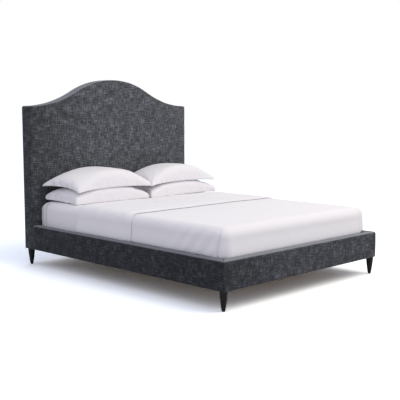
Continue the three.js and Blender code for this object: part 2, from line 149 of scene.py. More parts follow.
def scaled(tree, source, scale, offset=(0.0, 0.0, 0.0)):
    """Texture coordinates stretched: scale is repeats in each metre along each axis."""
    return add_node(tree, "ShaderNodeMapping", inputs={
        "Vector": source, "Scale": scale, "Location": offset,
    }).outputs[0]


def noise(tree, inputs):
    """Noise from 0 to 1, by the texture node's inputs."""
    return add_node(tree, "ShaderNodeTexNoise", inputs=inputs).outputs["Fac"]


def mixed(tree, share, first, second):
    """From the first hex colour to the second, by a share."""
    return add_node(tree, "ShaderNodeMix", {"data_type": "RGBA"}, {
        0: share, 6: colour(first), 7: colour(second),
    }).outputs[2]


def bump(tree, height, strength, distance):
    """A normal tilted by a height's slope; distance is the height's full depth in metres."""
    return add_node(tree, "ShaderNodeBump", inputs={
        "Height": height, "Strength": strength, "Distance": distance,
    }).outputs["Normal"]


def close_material(tree, surface):
    """Ends a material in its output node."""
    add_node(tree, "ShaderNodeOutputMaterial", inputs={"Surface": surface})


def shaded(material, tree, inputs):
    """Ends a material in a principled surface with those inputs, and gives it back."""
    surface = add_node(tree, "ShaderNodeBsdfPrincipled", inputs=inputs)
    close_material(tree, surface.outputs[0])
    return material


GRAIN_SCALES = {  # repeats in a metre: 6 mm rings across the grain, 0.5 m streaks along it
    "x": (2.0, 160.0, 160.0),
    "y": (160.0, 2.0, 160.0),
    "z": (160.0, 160.0, 2.0),
}


def planed_timber(name, along, early, late, roughness):
    """Sawn and planed softwood or ply: long noise streaks for growth rings, and fine pores as bump."""
    material, tree = new_material(name)
    place = add_node(tree, "ShaderNodeTexCoord").outputs["Object"]
    rings = noise(tree, {
        "Vector": scaled(tree, place, GRAIN_SCALES[along]), "Scale": 1.0, "Detail": 3.0,
        "Roughness": 0.6, "Distortion": 0.6,
    })
    pores = noise(tree, {
        "Vector": scaled(tree, place, tuple(6 * s for s in GRAIN_SCALES[along])), "Scale": 1.0,
        "Detail": 2.0,
    })
    tone = mixed(tree, rings, early, late)
    relief = bump(tree, pores, 0.25, 0.0004)
    return shaded(material, tree, {
        "Base Color": tone, "Roughness": roughness, "Normal": relief,
    })


def dress(material, slot, *names):
    """Gives CAD nodes, which stay as they are, a finish. slot is not used."""
    for name in names:
        nodes[name].data.materials.clear()
        nodes[name].data.materials.append(material)


# Pine: pale straw wood with warmer, narrow late-wood lines that run with each board.
PINE_EARLY, PINE_LATE = "#E2C69A", "#BC8E57"
pine_across = planed_timber("planed pine, grain across the bed", "x", PINE_EARLY, PINE_LATE, 0.62)
pine_lengthwise = planed_timber("planed pine, grain along the bed", "y", PINE_EARLY, PINE_LATE, 0.62)
pine_upright = planed_timber("planed pine, grain upright", "z", PINE_EARLY, PINE_LATE, 0.62)
# Birch plywood: even cream face veneer with faint, wide figure.
birch_plywood = planed_timber("sanded birch plywood", "x", "#D8BD92", "#C7A473", 0.58)

dress(pine_upright, "pine", "headboard_post_left", "headboard_post_right")
dress(pine_across, "pine", "headboard_middle_rail", "headboard_bottom_rail")
dress(birch_plywood, "plywood", "headboard_crown_rail", "headboard_panel")


# ---- Foam ----------------------------------------------------------------------------------------
# Sheets of cut upholstery foam, glued to the headboard panel and round the rails' boards. It shows
# only from underneath, as a soft cream edge with open cells.

def cut_foam():
    """Cream polyurethane foam: matt, a little mottled, with 2 mm cells as bump."""
    material, tree = new_material("cut polyurethane foam")
    place = add_node(tree, "ShaderNodeTexCoord").outputs["Object"]
    cells = add_node(tree, "ShaderNodeTexVoronoi", inputs={"Vector": place, "Scale": 450.0})
    cloud = noise(tree, {"Vector": place, "Scale": 14.0})
    tone = mixed(tree, cloud, "#E9DFB9", "#DCCF9F")
    relief = bump(tree, cells.outputs["Distance"], 0.5, 0.001)
    return shaded(material, tree, {
        "Base Color": tone, "Roughness": 0.95, "Normal": relief,
    })


foam = cut_foam()
dress(foam, "foam", "headboard_foam", "side_rail_foam_left", "side_rail_foam_right", "foot_rail_foam")


# ---- Headboard cover -----------------------------------------------------------------------------
# Charcoal slub linen over thin wadding. A front panel is sewn to a border strip 8 mm behind the
# front edge, and the border is drawn back over the top and sides and stapled behind.

def slub_linen(name, dark, middle, light, painted_highlight):
    """Charcoal linen blend. Warp and weft threads of uneven thickness give short dark and light
    dashes in both directions, on soft mottling. Edges that face up carry a painted highlight, and cloth
    seen at grazing angles a painted sheen; the last colour is theirs."""
    material, tree = new_material(name)
    cloth = add_node(tree, "ShaderNodeUVMap", {"uv_map": "cloth"}).outputs[0]
    # Slubs are 1 to 3 mm thick and 30 to 120 mm long; here they are 8 mm thick, so that they show.
    warp = noise(tree, {
        "Vector": scaled(tree, cloth, (125.0, 17.0, 1.0)), "Scale": 1.0, "Detail": 2.0,
        "Roughness": 0.5,
    })
    weft = noise(tree, {
        "Vector": scaled(tree, cloth, (17.0, 125.0, 1.0), (3.1, 7.7, 0.0)), "Scale": 1.0,
        "Detail": 2.0, "Roughness": 0.5,
    })
    cloud = noise(tree, {
        "Vector": scaled(tree, cloth, (14.0, 14.0, 1.0)), "Scale": 1.0, "Detail": 2.0,
    })
    threads = maths(tree, "ADD", warp, weft)
    shade = maths(tree, "MULTIPLY_ADD", cloud, 0.45, threads)
    tone = add_node(tree, "ShaderNodeValToRGB", inputs={
        "Fac": add_node(tree, "ShaderNodeMapRange", inputs={
            "Value": shade, "From Min": 0.69, "From Max": 1.76,
        }).outputs[0],
    })
    ramp = tone.color_ramp
    ramp.elements[0].color = colour(dark)
    ramp.elements[1].color = colour(light)
    ramp.elements.new(0.5).color = colour(middle)
    grazing = add_node(tree, "ShaderNodeLayerWeight", inputs={"Blend": 0.5})
    painted_grazing_sheen = maths(tree, "POWER", grazing.outputs["Facing"], 6.0)
    # Painted highlight and painted sheen: faces that point up turn towards the highlight colour, and so
    # do faces that tilt up where they are seen at a grazing angle.
    upward = add_node(tree, "ShaderNodeSeparateXYZ", inputs={
        "Vector": add_node(tree, "ShaderNodeNewGeometry").outputs["Normal"],
    })
    edge = add_node(tree, "ShaderNodeMapRange", {"interpolation_type": "SMOOTHSTEP"}, {
        "Value": upward.outputs["Z"], "From Min": 0.45, "From Max": 0.85, "To Max": 0.60,
    })
    lit = add_node(tree, "ShaderNodeMapRange", {"interpolation_type": "SMOOTHSTEP"}, {
        "Value": upward.outputs["Z"], "From Min": 0.05, "From Max": 0.40,
    })
    painted_top_sheen = maths(tree, "MULTIPLY", painted_grazing_sheen, lit.outputs[0])
    pale = maths(tree, "MAXIMUM", painted_top_sheen, edge.outputs[0])
    # Painted shade, not part of the real cloth, which is one tone: a band that darkens the headboard to
    # its left, and most on the last 80 mm, and the foot rail's left end alike. It stands in for a light
    # that falls off on that side.
    across = add_node(tree, "ShaderNodeMapRange", inputs={
        "Value": add_node(tree, "ShaderNodeSeparateXYZ", inputs={"Vector": cloth}).outputs["X"],
        "From Min": -1.0, "From Max": 1.0,
    })
    painted_left_shade = add_node(tree, "ShaderNodeValToRGB", inputs={"Fac": across.outputs[0]})
    painted_left_shade.color_ramp.elements[0].position = 0.070
    painted_left_shade.color_ramp.elements[0].color = (0.50, 0.50, 0.50, 1.0)
    painted_left_shade.color_ramp.elements[1].position = 0.38
    painted_left_shade.color_ramp.elements.new(0.079).color = (0.60, 0.60, 0.60, 1.0)
    # The painted shade multiplies the tone.
    tone_with_painted_shade = add_node(tree, "ShaderNodeMix", {"data_type": "RGBA", "blend_type": "MULTIPLY"}, {
        0: 1.0, 6: tone.outputs[0], 7: painted_left_shade.outputs[0],
    })
    # Painted highlight and sheen: the tone is mixed towards the highlight colour by that share.
    highlighted_tone = add_node(tree, "ShaderNodeMix", {"data_type": "RGBA"}, {
        0: pale, 6: tone_with_painted_shade.outputs[2], 7: colour(painted_highlight),
    })
    # The weave itself: 1 mm threads, drawn 3 mm wide.
    over = add_node(tree, "ShaderNodeTexWave", {"bands_direction": "X"}, {
        "Vector": cloth, "Scale": 50.0, "Distortion": 1.5, "Detail": 1.0,
    })
    under = add_node(tree, "ShaderNodeTexWave", {"bands_direction": "Y"}, {
        "Vector": cloth, "Scale": 50.0, "Distortion": 1.5, "Detail": 1.0,
    })
    weave = maths(tree, "MULTIPLY", over.outputs["Fac"], under.outputs["Fac"])
    height = maths(tree, "ADD", weave, threads)
    relief = bump(tree, height, 0.5, 0.0012)
    return shaded(material, tree, {
        "Base Color": highlighted_tone.outputs[2], "Roughness": 0.92, "Specular IOR Level": 0.15,
        "Sheen Weight": 0.10, "Sheen Roughness": 0.45, "Sheen Tint": colour("#B9BAC4"),
        "Normal": relief,
    })


def grid_faces(rows, columns, first=0):
    """Quads of a grid whose point (row, column) has the number first + row * columns + column."""
    row, column = np.meshgrid(np.arange(rows - 1), np.arange(columns - 1), indexing="ij")
    corner = (first + row * columns + column).reshape(-1, 1)
    return corner + np.array([[0, 1, columns + 1, columns]])


def strip_faces(near, far):
    """Quads between two lines of point numbers of equal length."""
    return np.stack([near[:-1], near[1:], far[1:], far[:-1]], axis=1)


def new_piece(name, points, faces, material, flat=None):
    """A smooth piece that rides on the bed. flat is each point's place on the cloth, in metres."""
    mesh = bpy.data.meshes.new(name)
    listed = faces.tolist() if isinstance(faces, np.ndarray) else faces
    mesh.from_pydata(np.asarray(points, float).tolist(), [], listed)
    mesh.polygons.foreach_set("use_smooth", [True] * len(mesh.polygons))
    if flat is not None:
        corners = np.zeros(len(mesh.loops), np.int32)
        mesh.loops.foreach_get("vertex_index", corners)
        layer = mesh.uv_layers.new(name="cloth")
        layer.data.foreach_set("uv", np.asarray(flat, np.float32)[corners].ravel())
    mesh.materials.append(material)
    piece = bpy.data.objects.new(name, mesh)
    bpy.context.scene.collection.objects.link(piece)
    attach(piece, "root")
    return piece


def thicken(piece, thickness, offset=-1.0):
    """Gives an open cloth surface its thickness, inwards from the modelled face."""
    solid = piece.modifiers.new("thickness", "SOLIDIFY")
    solid.thickness = thickness
    solid.offset = offset
    solid.use_even_offset = False


def ripple(a, b, *waves):
    """Sum of sines over two coordinates: each wave is (height, length in a, length in b, phase),
    and adds height * sin(2 pi (a / length_a + b / length_b) + phase)."""
    total = np.zeros(np.broadcast(a, b).shape)
    for height, length_a, length_b, phase in waves:
        total += height * np.sin(2 * np.pi * (a / length_a + b / length_b) + phase)
    return total


# Charcoal, with paler slubs; the last colour is the painted highlight and sheen.
linen = slub_linen("charcoal slub linen", "#1C1E21", "#505357", "#95989E", "#8E9197")

BED_HALF_WIDTH = 0.845
BED_HALF_LENGTH = 1.114
RAIL_BOTTOM = 0.130
HEAD_FACE = 0.996
SHOULDER, CROWN, CROWN_RADIUS = 1.278, 1.500, 0.773
CROWN_SWEEP = 2 * math.atan((CROWN - SHOULDER) / BED_HALF_WIDTH)
SHOULDER_RADIUS = BED_HALF_WIDTH / math.sin(CROWN_SWEEP) - CROWN_RADIUS
CORNER_RADIUS = 0.016


def camelback(x):
    """Height of the headboard's top at x: a convex circle over the middle, and tangent to it a
    concave circle on each shoulder, centred above the headboard's edge."""
    across = np.abs(x)
    joint = CROWN_RADIUS * math.sin(CROWN_SWEEP)
    convex = CROWN - CROWN_RADIUS + np.sqrt(np.maximum(CROWN_RADIUS**2 - across**2, 0))
    concave = SHOULDER + SHOULDER_RADIUS - np.sqrt(
        np.maximum(SHOULDER_RADIUS**2 - (BED_HALF_WIDTH - across) ** 2, 0)
    )
    return np.where(across < joint, convex, concave)


def headboard_outline():
    """The outline seen from the front as a left side going up, a top going right and a right side
    going down, each as points (x, z) and outward normals. The sides meet the top halfway round
    the corners."""
    turn = np.linspace(0, math.pi / 4, 6)
    centre = np.array([CORNER_RADIUS - BED_HALF_WIDTH, 0.0])
    centre[1] = camelback(centre[0]) - CORNER_RADIUS
    hem = np.array([0.0, 0.0006, 0.002, 0.004, 0.007, 0.011])
    rise = np.concatenate([RAIL_BOTTOM + hem, np.linspace(0.155, centre[1], 70)])
    straight = np.stack([np.full_like(rise, -BED_HALF_WIDTH), rise], 1)
    lower = np.stack([-np.cos(turn), np.sin(turn)], 1)
    upper = np.stack([-np.cos(turn + math.pi / 4), np.sin(turn + math.pi / 4)], 1)
    left = np.concatenate([straight, centre + CORNER_RADIUS * lower[1:]])
    left_normal = np.concatenate([np.tile([-1.0, 0.0], (len(rise), 1)), lower[1:]])

    x = np.linspace(centre[0], -centre[0], 171)[1:-1]
    step = 1e-4
    slope = (camelback(x + step) - camelback(x - step)) / (2 * step)
    over = np.stack([-slope, np.ones_like(slope)], 1) / np.sqrt(1 + slope**2)[:, None]
    mirror = np.array([-1.0, 1.0])
    corner = centre + CORNER_RADIUS * upper
    top = np.concatenate([corner, np.stack([x, camelback(x)], 1), corner[::-1] * mirror])
    top_normal = np.concatenate([upper, over, upper[::-1] * mirror])
    return left, left_normal, top, top_normal, left[::-1] * mirror, left_normal[::-1] * mirror


def coons_patch(west, east, north):
    """A grid between a left and a right side and a top, over a straight bottom edge: the sum of the
    blends between opposite sides, less the bilinear blend of the four corners."""
    u = ((north[:, 0] - north[0, 0]) / (north[-1, 0] - north[0, 0]))[None, :, None]
    v = ((west[:, 1] - west[0, 1]) / (west[-1, 1] - west[0, 1]))[:, None, None]
    south = west[0] + (east[0] - west[0]) * u[0]
    return (
        (1 - v) * south[None] + v * north[None] + (1 - u) * west[:, None] + u * east[:, None]
        - (1 - u) * (1 - v) * west[0] - u * (1 - v) * east[0]
        - (1 - u) * v * west[-1] - u * v * east[-1]
    )


def headboard_cover():
    """Rings follow the outline: each is set in from it by `inset` and lies at depth y. They run from
    the back edge over the border, a sewn groove and the rounded front edge. The front is a patch
    inside the innermost ring, swollen by its padding."""
    left, left_normal, top, top_normal, right, right_normal = headboard_outline()
    rim = np.concatenate([left, top[1:], right[1:]])
    normal = np.concatenate([left_normal, top_normal[1:], right_normal[1:]])
    back, front = BED_HALF_LENGTH, HEAD_FACE
    edge_radius, seam = 0.010, 0.018
    bend = np.linspace(0, math.pi / 2, 7)[:-1]
    profile = np.concatenate([
        [[0.016, back], [0.005, back], [0.0015, back - 0.0012], [0.0003, back - 0.004]],
        np.stack([np.full(6, 0.0), np.linspace(back - 0.012, front + seam + 0.010, 6)], 1),
        [[0.0, front + seam + 0.004], [0.0012, front + seam + 0.0015], [0.0028, front + seam]],
        [[0.0012, front + seam - 0.0015], [0.0002, front + seam - 0.004]],
        np.stack([edge_radius * (1 - np.cos(bend)), front + edge_radius * (1 - np.sin(bend))], 1),
    ])
    inset, depth = profile[:, 0], profile[:, 1]
    along = np.concatenate([[0], np.cumsum(np.hypot(*np.diff(rim, axis=0).T))])
    puff = ripple(along[None, :], depth[:, None], (0.0006, 0.31, 0.5, 0.4), (0.0004, 0.13, 9.0, 1.1))
    puff *= np.clip((back - depth) / 0.02, 0, 1)[:, None]
    ring_place = rim[None] - normal[None] * (inset[:, None] - puff)[..., None]
    rings = np.stack([
        ring_place[..., 0], np.broadcast_to(depth[:, None], puff.shape), ring_place[..., 1],
    ], -1)
    travel = np.cumsum(np.hypot(*np.diff(np.vstack([profile, [edge_radius, front]]), axis=0).T)[::-1])
    outward = travel[::-1][:, None, None] * normal[None]
    ring_flat = rim[None] - edge_radius * normal[None] + outward

    west = left - edge_radius * left_normal
    east = right[::-1] - edge_radius * right_normal[::-1]
    patch = coons_patch(west, east, top - edge_radius * top_normal)
    x, z = patch[..., 0], patch[..., 1]
    margin = np.minimum(BED_HALF_WIDTH - np.abs(x), camelback(x) - z) - edge_radius
    swell = 0.0022 * (1 - np.exp(-np.maximum(margin, 0) / 0.05))
    swell += np.clip(margin / 0.05, 0, 1) * ripple(
        x, z, (0.0005, 0.62, 1.1, 0.3), (0.0004, -0.41, 0.53, 2.0), (0.0003, 0.23, -0.34, 4.1)
    )
    swell *= np.clip((z - 0.34) / 0.15, 0, 1)
    under = np.clip((z - RAIL_BOTTOM) / edge_radius, 0, 1)
    tuck = edge_radius * (1 - np.sqrt(1 - (1 - under) ** 2))
    front_points = np.stack([x, front + tuck - swell, z], -1)

    rows, columns = x.shape
    lines, count = inset.shape[0], len(rim)
    first = lines * count
    number = first + np.arange(rows * columns).reshape(rows, columns)
    border = np.concatenate([number[:, 0], number[-1, 1:], number[::-1, -1][1:]])
    faces = np.concatenate([
        grid_faces(lines, count)[:, ::-1],
        strip_faces(np.arange(first - count, first), border)[:, ::-1],
        grid_faces(rows, columns, first),
    ])
    points = np.concatenate([rings.reshape(-1, 3), front_points.reshape(-1, 3)])
    flat = np.concatenate([ring_flat.reshape(-1, 2), patch.reshape(-1, 2)])
    return points, faces, flat


cover_points, cover_faces, cover_flat = headboard_cover()
headboard = new_piece("headboard_linen", cover_points, cover_faces, linen, cover_flat)
thicken(headboard, 0.003)
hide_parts("headboard_cover")


# ---- Headboard back ------------------------------------------------------------------------------
# Black non-woven dust cloth, cut to the arch, turned under round its edge and stapled over the
# back of the frame. The staples are left out.

def dust_cloth():
    """Thin black spun-bonded polypropylene: matt, with a faint square emboss 4 mm apart."""
    material, tree = new_material("black spun-bonded dust cloth")
    place = add_node(tree, "ShaderNodeTexCoord").outputs["Object"]
    cloud = noise(tree, {
        "Vector": place, "Scale": 60.0, "Detail": 4.0, "Roughness": 0.7,
    })
    tone = mixed(tree, cloud, "#1C1C1F", "#303035")
    emboss = add_node(tree, "ShaderNodeTexVoronoi", {"distance": "CHEBYCHEV"}, {
        "Vector": place, "Scale": 250.0, "Randomness": 0.0,
    })
    relief = bump(tree, emboss.outputs["Distance"], 0.3, 0.0006)
    return shaded(material, tree, {
        "Base Color": tone, "Roughness": 0.85, "Specular IOR Level": 0.3,
        "Sheen Weight": 0.1, "Normal": relief,
    })


def back_cloth():
    """The outline set in by 9 mm and filled, with soft slack waves that die out at the stapled edge,
    where the turned-under hem stands 0.6 mm proud."""
    left, left_normal, top, top_normal, right, right_normal = headboard_outline()
    set_in = 0.009
    patch = coons_patch(
        left - set_in * left_normal, right[::-1] - set_in * right_normal[::-1],
        top - set_in * top_normal,
    )
    x, z = patch[..., 0], patch[..., 1]
    margin = np.minimum(BED_HALF_WIDTH - np.abs(x), camelback(x) - z) - set_in
    margin = np.minimum(margin, z - RAIL_BOTTOM)
    slack = np.clip((margin - 0.02) / 0.10, 0, 1)
    waves = ripple(x, z, (0.40, 0.45, 0.9, 0.0), (0.35, -0.25, 0.6, 1.7), (0.25, 0.16, 0.2, 2.9))
    depth = BED_HALF_LENGTH - 0.0014 + 0.0006 * slack * waves
    depth += 0.0006 * np.clip((0.022 - margin) / 0.002, 0, 1)
    points = np.stack([x, depth, z], -1)
    return points.reshape(-1, 3), grid_faces(*x.shape)[:, ::-1]


back_points, back_faces = back_cloth()
back = new_piece("headboard_dust_cloth", back_points, back_faces, dust_cloth())
thicken(back, 0.0008)
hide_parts("headboard_back_panel")


# ---- Rail covers ---------------------------------------------------------------------------------
# The same linen, drawn over the foam of each rail in one length: up the outer face, over the
# rounded top and down inside. At the foot corners the lengths are mitred and sewn edge to edge.

# The real bed has one linen of one tone. These two copies carry painted shade: they are darker than the
# headboard's, as a stand-in for a light that falls off towards the rails, and the side rails' copy darker
# still. Their last colour is a painted highlight and sheen. For a neutral bed, use linen on all covers.
shaded_foot_linen = slub_linen(
    "charcoal slub linen, painted shade for the foot rail", "#181A1D", "#414347", "#80828A", "#9EA1A8"
)
shaded_side_linen = slub_linen(
    "charcoal slub linen, painted shade for the side rails", "#0F1113", "#2C2E31", "#5C5E64", "#8C8F96"
)

RAIL_THICKNESS, RAIL_TOP, RAIL_EDGE_RADIUS = 0.068, 0.325, 0.017
PLAN_RADIUS = 0.009
MITRE_SEAM = 0.0002


def rail_section():
    """Points (inwards from the outer face, height) over a rail: a turned-in bottom edge, a slightly
    crowned outer face, a quarter circle, the top, a quarter circle and the inner face."""
    bend = np.linspace(0, math.pi / 2, 9)
    rise = np.linspace(0.137, RAIL_TOP - RAIL_EDGE_RADIUS, 22)[:-1]
    crown = -0.0016 * np.sin(math.pi * (rise - 0.137) / (rise[-1] - 0.137))
    outer = np.stack([crown, rise], 1)
    radius = RAIL_EDGE_RADIUS
    over = np.stack([radius * (1 - np.cos(bend)), RAIL_TOP - radius * (1 - np.sin(bend))], 1)
    level = np.linspace(radius, RAIL_THICKNESS - radius, 8)[1:-1]
    top = np.stack([level, RAIL_TOP + 0.0012 * np.sin(
        math.pi * (level - radius) / (RAIL_THICKNESS - 2 * radius)
    )], 1)
    inner = np.stack([RAIL_THICKNESS - over[::-1, 0], over[::-1, 1]], 1)
    down = np.stack([np.full(7, RAIL_THICKNESS), np.linspace(0.30, RAIL_BOTTOM, 7)], 1)
    hem = np.array([[0.006, RAIL_BOTTOM], [0.003, 0.1305], [0.001, 0.132]])
    return np.concatenate([hem, outer, over, top, inner, down])


def side_rail_cover(sign):
    """The section carried along the rail from the headboard to the mitre. At a depth `inwards` its
    line is straight until a small arc of radius max(r - inwards, 1 mm), which it follows for an
    eighth of a turn, so that it ends on the mitre."""
    section = rail_section()
    inwards, height = section[:, 0], section[:, 1]
    radius = np.maximum(PLAN_RADIUS - inwards, 0.001)
    run = np.linspace(0, 1, 141) ** 0.9
    stop = -BED_HALF_LENGTH + inwards + radius
    y = HEAD_FACE + (stop[None] - HEAD_FACE) * run[:, None]
    x = np.broadcast_to(inwards - BED_HALF_WIDTH, y.shape)
    angle = np.linspace(0, math.pi / 4, 6)[1:, None]
    arc_x = inwards - BED_HALF_WIDTH + radius * (1 - np.cos(angle))
    arc_y = stop - radius * np.sin(angle) + MITRE_SEAM
    x = np.concatenate([x, arc_x])
    y = np.concatenate([y, arc_y])
    z = np.broadcast_to(height, y.shape)
    wave = ripple(y, z, (0.0007, 0.47, 0.8, 0.9), (0.0005, 0.21, -0.6, 2.2))
    wave = wave * np.clip((y + BED_HALF_LENGTH - 0.03) / 0.1, 0, 1)
    outside = np.clip(1 - inwards / 0.01, 0, 1) * np.clip((z - 0.14) / 0.03, 0, 1)
    x = x - wave * outside
    z = z + wave * np.clip((z - 0.31) / 0.014, 0, 1)
    length = np.concatenate([[0], np.cumsum(np.hypot(*np.diff(section, axis=0).T))])
    flat = np.stack([y + 4.0 + sign, np.broadcast_to(length, y.shape)], -1)
    faces = grid_faces(*y.shape)
    points = np.stack([-sign * x, y, z], -1)
    return points.reshape(-1, 3), faces if sign > 0 else faces[:, ::-1], flat.reshape(-1, 2)


def foot_rail_cover():
    """The same section across the foot, with the small arc and the mitre at both ends."""
    section = rail_section()
    inwards, height = section[:, 0], section[:, 1]
    radius = np.maximum(PLAN_RADIUS - inwards, 0.001)
    stop = BED_HALF_WIDTH - inwards - radius
    run = np.linspace(-1, 1, 141)
    x = stop[None] * run[:, None]
    y = np.broadcast_to(inwards - BED_HALF_LENGTH, x.shape)
    angle = np.linspace(0, math.pi / 4, 6)[1:, None]
    arc_x = stop + radius * np.sin(angle) - MITRE_SEAM
    arc_y = inwards - BED_HALF_LENGTH + radius * (1 - np.cos(angle))
    x = np.concatenate([-arc_x[::-1], x, arc_x])
    y = np.concatenate([arc_y[::-1], y, arc_y])
    z = np.broadcast_to(height, x.shape)
    wave = ripple(x, z, (0.0007, 0.52, 0.9, 0.2), (0.0005, 0.23, -0.7, 1.2))
    wave = wave * np.clip((BED_HALF_WIDTH - 0.03 - np.abs(x)) / 0.1, 0, 1)
    outside = np.clip(1 - inwards / 0.01, 0, 1) * np.clip((z - 0.14) / 0.03, 0, 1)
    y = y - wave * outside
    z = z + wave * np.clip((z - 0.31) / 0.014, 0, 1)
    length = np.concatenate([[0], np.cumsum(np.hypot(*np.diff(section, axis=0).T))])
    flat = np.stack([x, np.broadcast_to(length + 2.0, x.shape)], -1)
    return np.stack([x, y, z], -1).reshape(-1, 3), grid_faces(*x.shape)[:, ::-1], flat.reshape(-1, 2)


for name, replaced, cover, cloth in (
    ("side_rail_linen_left", "side_rail_cover_left", side_rail_cover(-1), shaded_side_linen),
    ("side_rail_linen_right", "side_rail_cover_right", side_rail_cover(1), shaded_side_linen),
    ("foot_rail_linen", "foot_rail_cover", foot_rail_cover(), shaded_foot_linen),
):
    rail_points, rail_faces, rail_flat = cover
    rail = new_piece(name, rail_points, rail_faces, cloth, rail_flat)
    thicken(rail, 0.003)
    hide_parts(replaced)

dress(pine_lengthwise, "pine", "side_rail_board_left", "side_rail_board_right")
dress(pine_across, "pine", "foot_rail_board")
dress(pine_upright, "pine", "corner_post_left", "corner_post_right")


# ---- Legs ----------------------------------------------------------------------------------------
# Four turned beech legs with a gentle swell, stained and lacquered nearly black, each screwed into
# the frame by a steel stud in its top. A black nylon glide is nailed under each.

def ebonised_beech():
    """Near-black satin lacquer over fine-grained beech: faint upright pores, soft highlights."""
    material, tree = new_material("ebonised lacquered beech")
    place = add_node(tree, "ShaderNodeTexCoord").outputs["Object"]
    pores = noise(tree, {
        "Vector": scaled(tree, place, (700.0, 700.0, 40.0)), "Scale": 1.0, "Detail": 2.0,
    })
    tone = mixed(tree, pores, "#0B0A09", "#171412")
    relief = bump(tree, pores, 0.12, 0.0002)
    return shaded(material, tree, {
        "Base Color": tone, "Roughness": 0.45, "Specular IOR Level": 0.10,
        "Coat Weight": 0.06, "Coat Roughness": 0.2, "Normal": relief,
    })


def moulded_nylon():
    """Black injection-moulded nylon: even colour, a slight sheen and a fine pebbled skin."""
    material, tree = new_material("black moulded nylon")
    place = add_node(tree, "ShaderNodeTexCoord").outputs["Object"]
    skin = noise(tree, {
        "Vector": place, "Scale": 900.0, "Detail": 2.0,
    })
    relief = bump(tree, skin, 0.2, 0.0003)
    return shaded(material, tree, {
        "Base Color": colour("#202022"), "Roughness": 0.5, "Normal": relief,
    })


def turned(profile, x, y, segments=64):
    """A profile of (radius, height) points turned about an upright axis: r cos a, r sin a, z. Both
    ends are closed by a flat disc."""
    radius, height = np.asarray(profile, float).T
    angle = np.linspace(0, 2 * math.pi, segments, endpoint=False)
    points = np.stack([
        x + radius[:, None] * np.cos(angle), y + radius[:, None] * np.sin(angle),
        np.broadcast_to(height[:, None], (len(radius), segments)),
    ], -1).reshape(-1, 3)
    ring, place = np.meshgrid(np.arange(len(radius) - 1), np.arange(segments), indexing="ij")
    near, after = ring * segments + place, ring * segments + (place + 1) % segments
    quads = np.stack([near, after, after + segments, near + segments], -1).reshape(-1, 4)
    top = np.arange((len(radius) - 1) * segments, len(radius) * segments)
    return points, quads.tolist() + [np.arange(segments)[::-1].tolist(), top.tolist()]


LEG_TOP_RADIUS, LEG_BOTTOM_RADIUS = 0.027, 0.012
LEG_X, LEG_HEAD_Y, LEG_FOOT_Y = 0.813, 1.071, -1.082
GLIDE_THICKNESS = 0.003
swell = np.linspace(0, 1, 25)
leg_profile = np.concatenate([
    [[0.0088, GLIDE_THICKNESS], [0.0100, 0.0034], [0.0112, 0.0044]],
    np.stack([
        LEG_BOTTOM_RADIUS + (LEG_TOP_RADIUS - LEG_BOTTOM_RADIUS) * (1 - (1 - swell) ** 1.5),
        0.006 + (RAIL_BOTTOM - 0.0008 - 0.006) * swell,
    ], 1),
    [[0.0264, RAIL_BOTTOM], [0.004, RAIL_BOTTOM], [0.004, RAIL_BOTTOM + 0.035]],
])
lacquered_beech = ebonised_beech()
black_nylon = moulded_nylon()
for end, leg_y in (("head", LEG_HEAD_Y), ("foot", LEG_FOOT_Y)):
    for side, sign in (("left", -1), ("right", 1)):
        leg_points, leg_faces = turned(leg_profile, sign * LEG_X, leg_y)
        leg = new_piece(f"turned_leg_{end}_{side}", leg_points, leg_faces, lacquered_beech)
        leg.data.set_sharp_from_angle(angle=math.radians(50))
        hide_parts(f"leg_{end}_{side}")
        dress(black_nylon, "nylon", f"glide_{end}_{side}")


# ---- Slatted base --------------------------------------------------------------------------------
# Thirteen pine slats on ledgers screwed inside the side rails, and on a centre beam that hangs in
# folded steel saddles. Steel angles tie the side rails to the headboard.

def zinc_plate():
    """Bright zinc-plated steel: cool grey metal with a faint spangle and brushed rolling marks."""
    material, tree = new_material("zinc-plated pressed steel")
    place = add_node(tree, "ShaderNodeTexCoord").outputs["Object"]
    spangle = add_node(tree, "ShaderNodeTexVoronoi", inputs={"Vector": place, "Scale": 160.0})
    tone = mixed(tree, spangle.outputs["Distance"], "#A9ADB1", "#C3C6C9")
    marks = noise(tree, {
        "Vector": scaled(tree, place, (60.0, 60.0, 1200.0)), "Scale": 1.0,
    })
    gloss = add_node(tree, "ShaderNodeMapRange", inputs={
        "Value": marks, "To Min": 0.28, "To Max": 0.45,
    })
    return shaded(material, tree, {
        "Base Color": tone, "Metallic": 1.0, "Roughness": gloss.outputs[0],
    })


zinc_steel = zinc_plate()
SLATS = [f"slat_{number:02d}" for number in range(1, 14)]
dress(pine_across, "pine", *SLATS)
dress(pine_lengthwise, "pine", "ledger_left", "ledger_right", "centre_beam")
dress(zinc_steel, "steel", "corner_bracket_left", "corner_bracket_right")
dress(zinc_steel, "steel", "beam_hanger_head", "beam_hanger_foot")


# ---- Centre supports -----------------------------------------------------------------------------
# Two square pine posts under the centre beam. Each stands on a black nylon levelling foot, whose
# stem screws up and down in the post.

dress(pine_upright, "pine", "centre_support_head", "centre_support_foot")
dress(black_nylon, "nylon", "levelling_foot_head", "levelling_foot_foot")


# ---- Mattress ------------------------------------------------------------------------------------
# A queen mattress, 1524 x 2030 x 254 mm: foam and springs in a quilted cream ticking, with a rolled
# tape edge round its top and bottom. It lies on the slats, sunk into the rails.

MATTRESS_HALF_WIDTH, MATTRESS_HALF_LENGTH = 0.762, 1.015
MATTRESS_CENTRE = -0.025
MATTRESS_BOTTOM, MATTRESS_TOP = 0.2543, 0.5083
MATTRESS_ROLL = 0.062


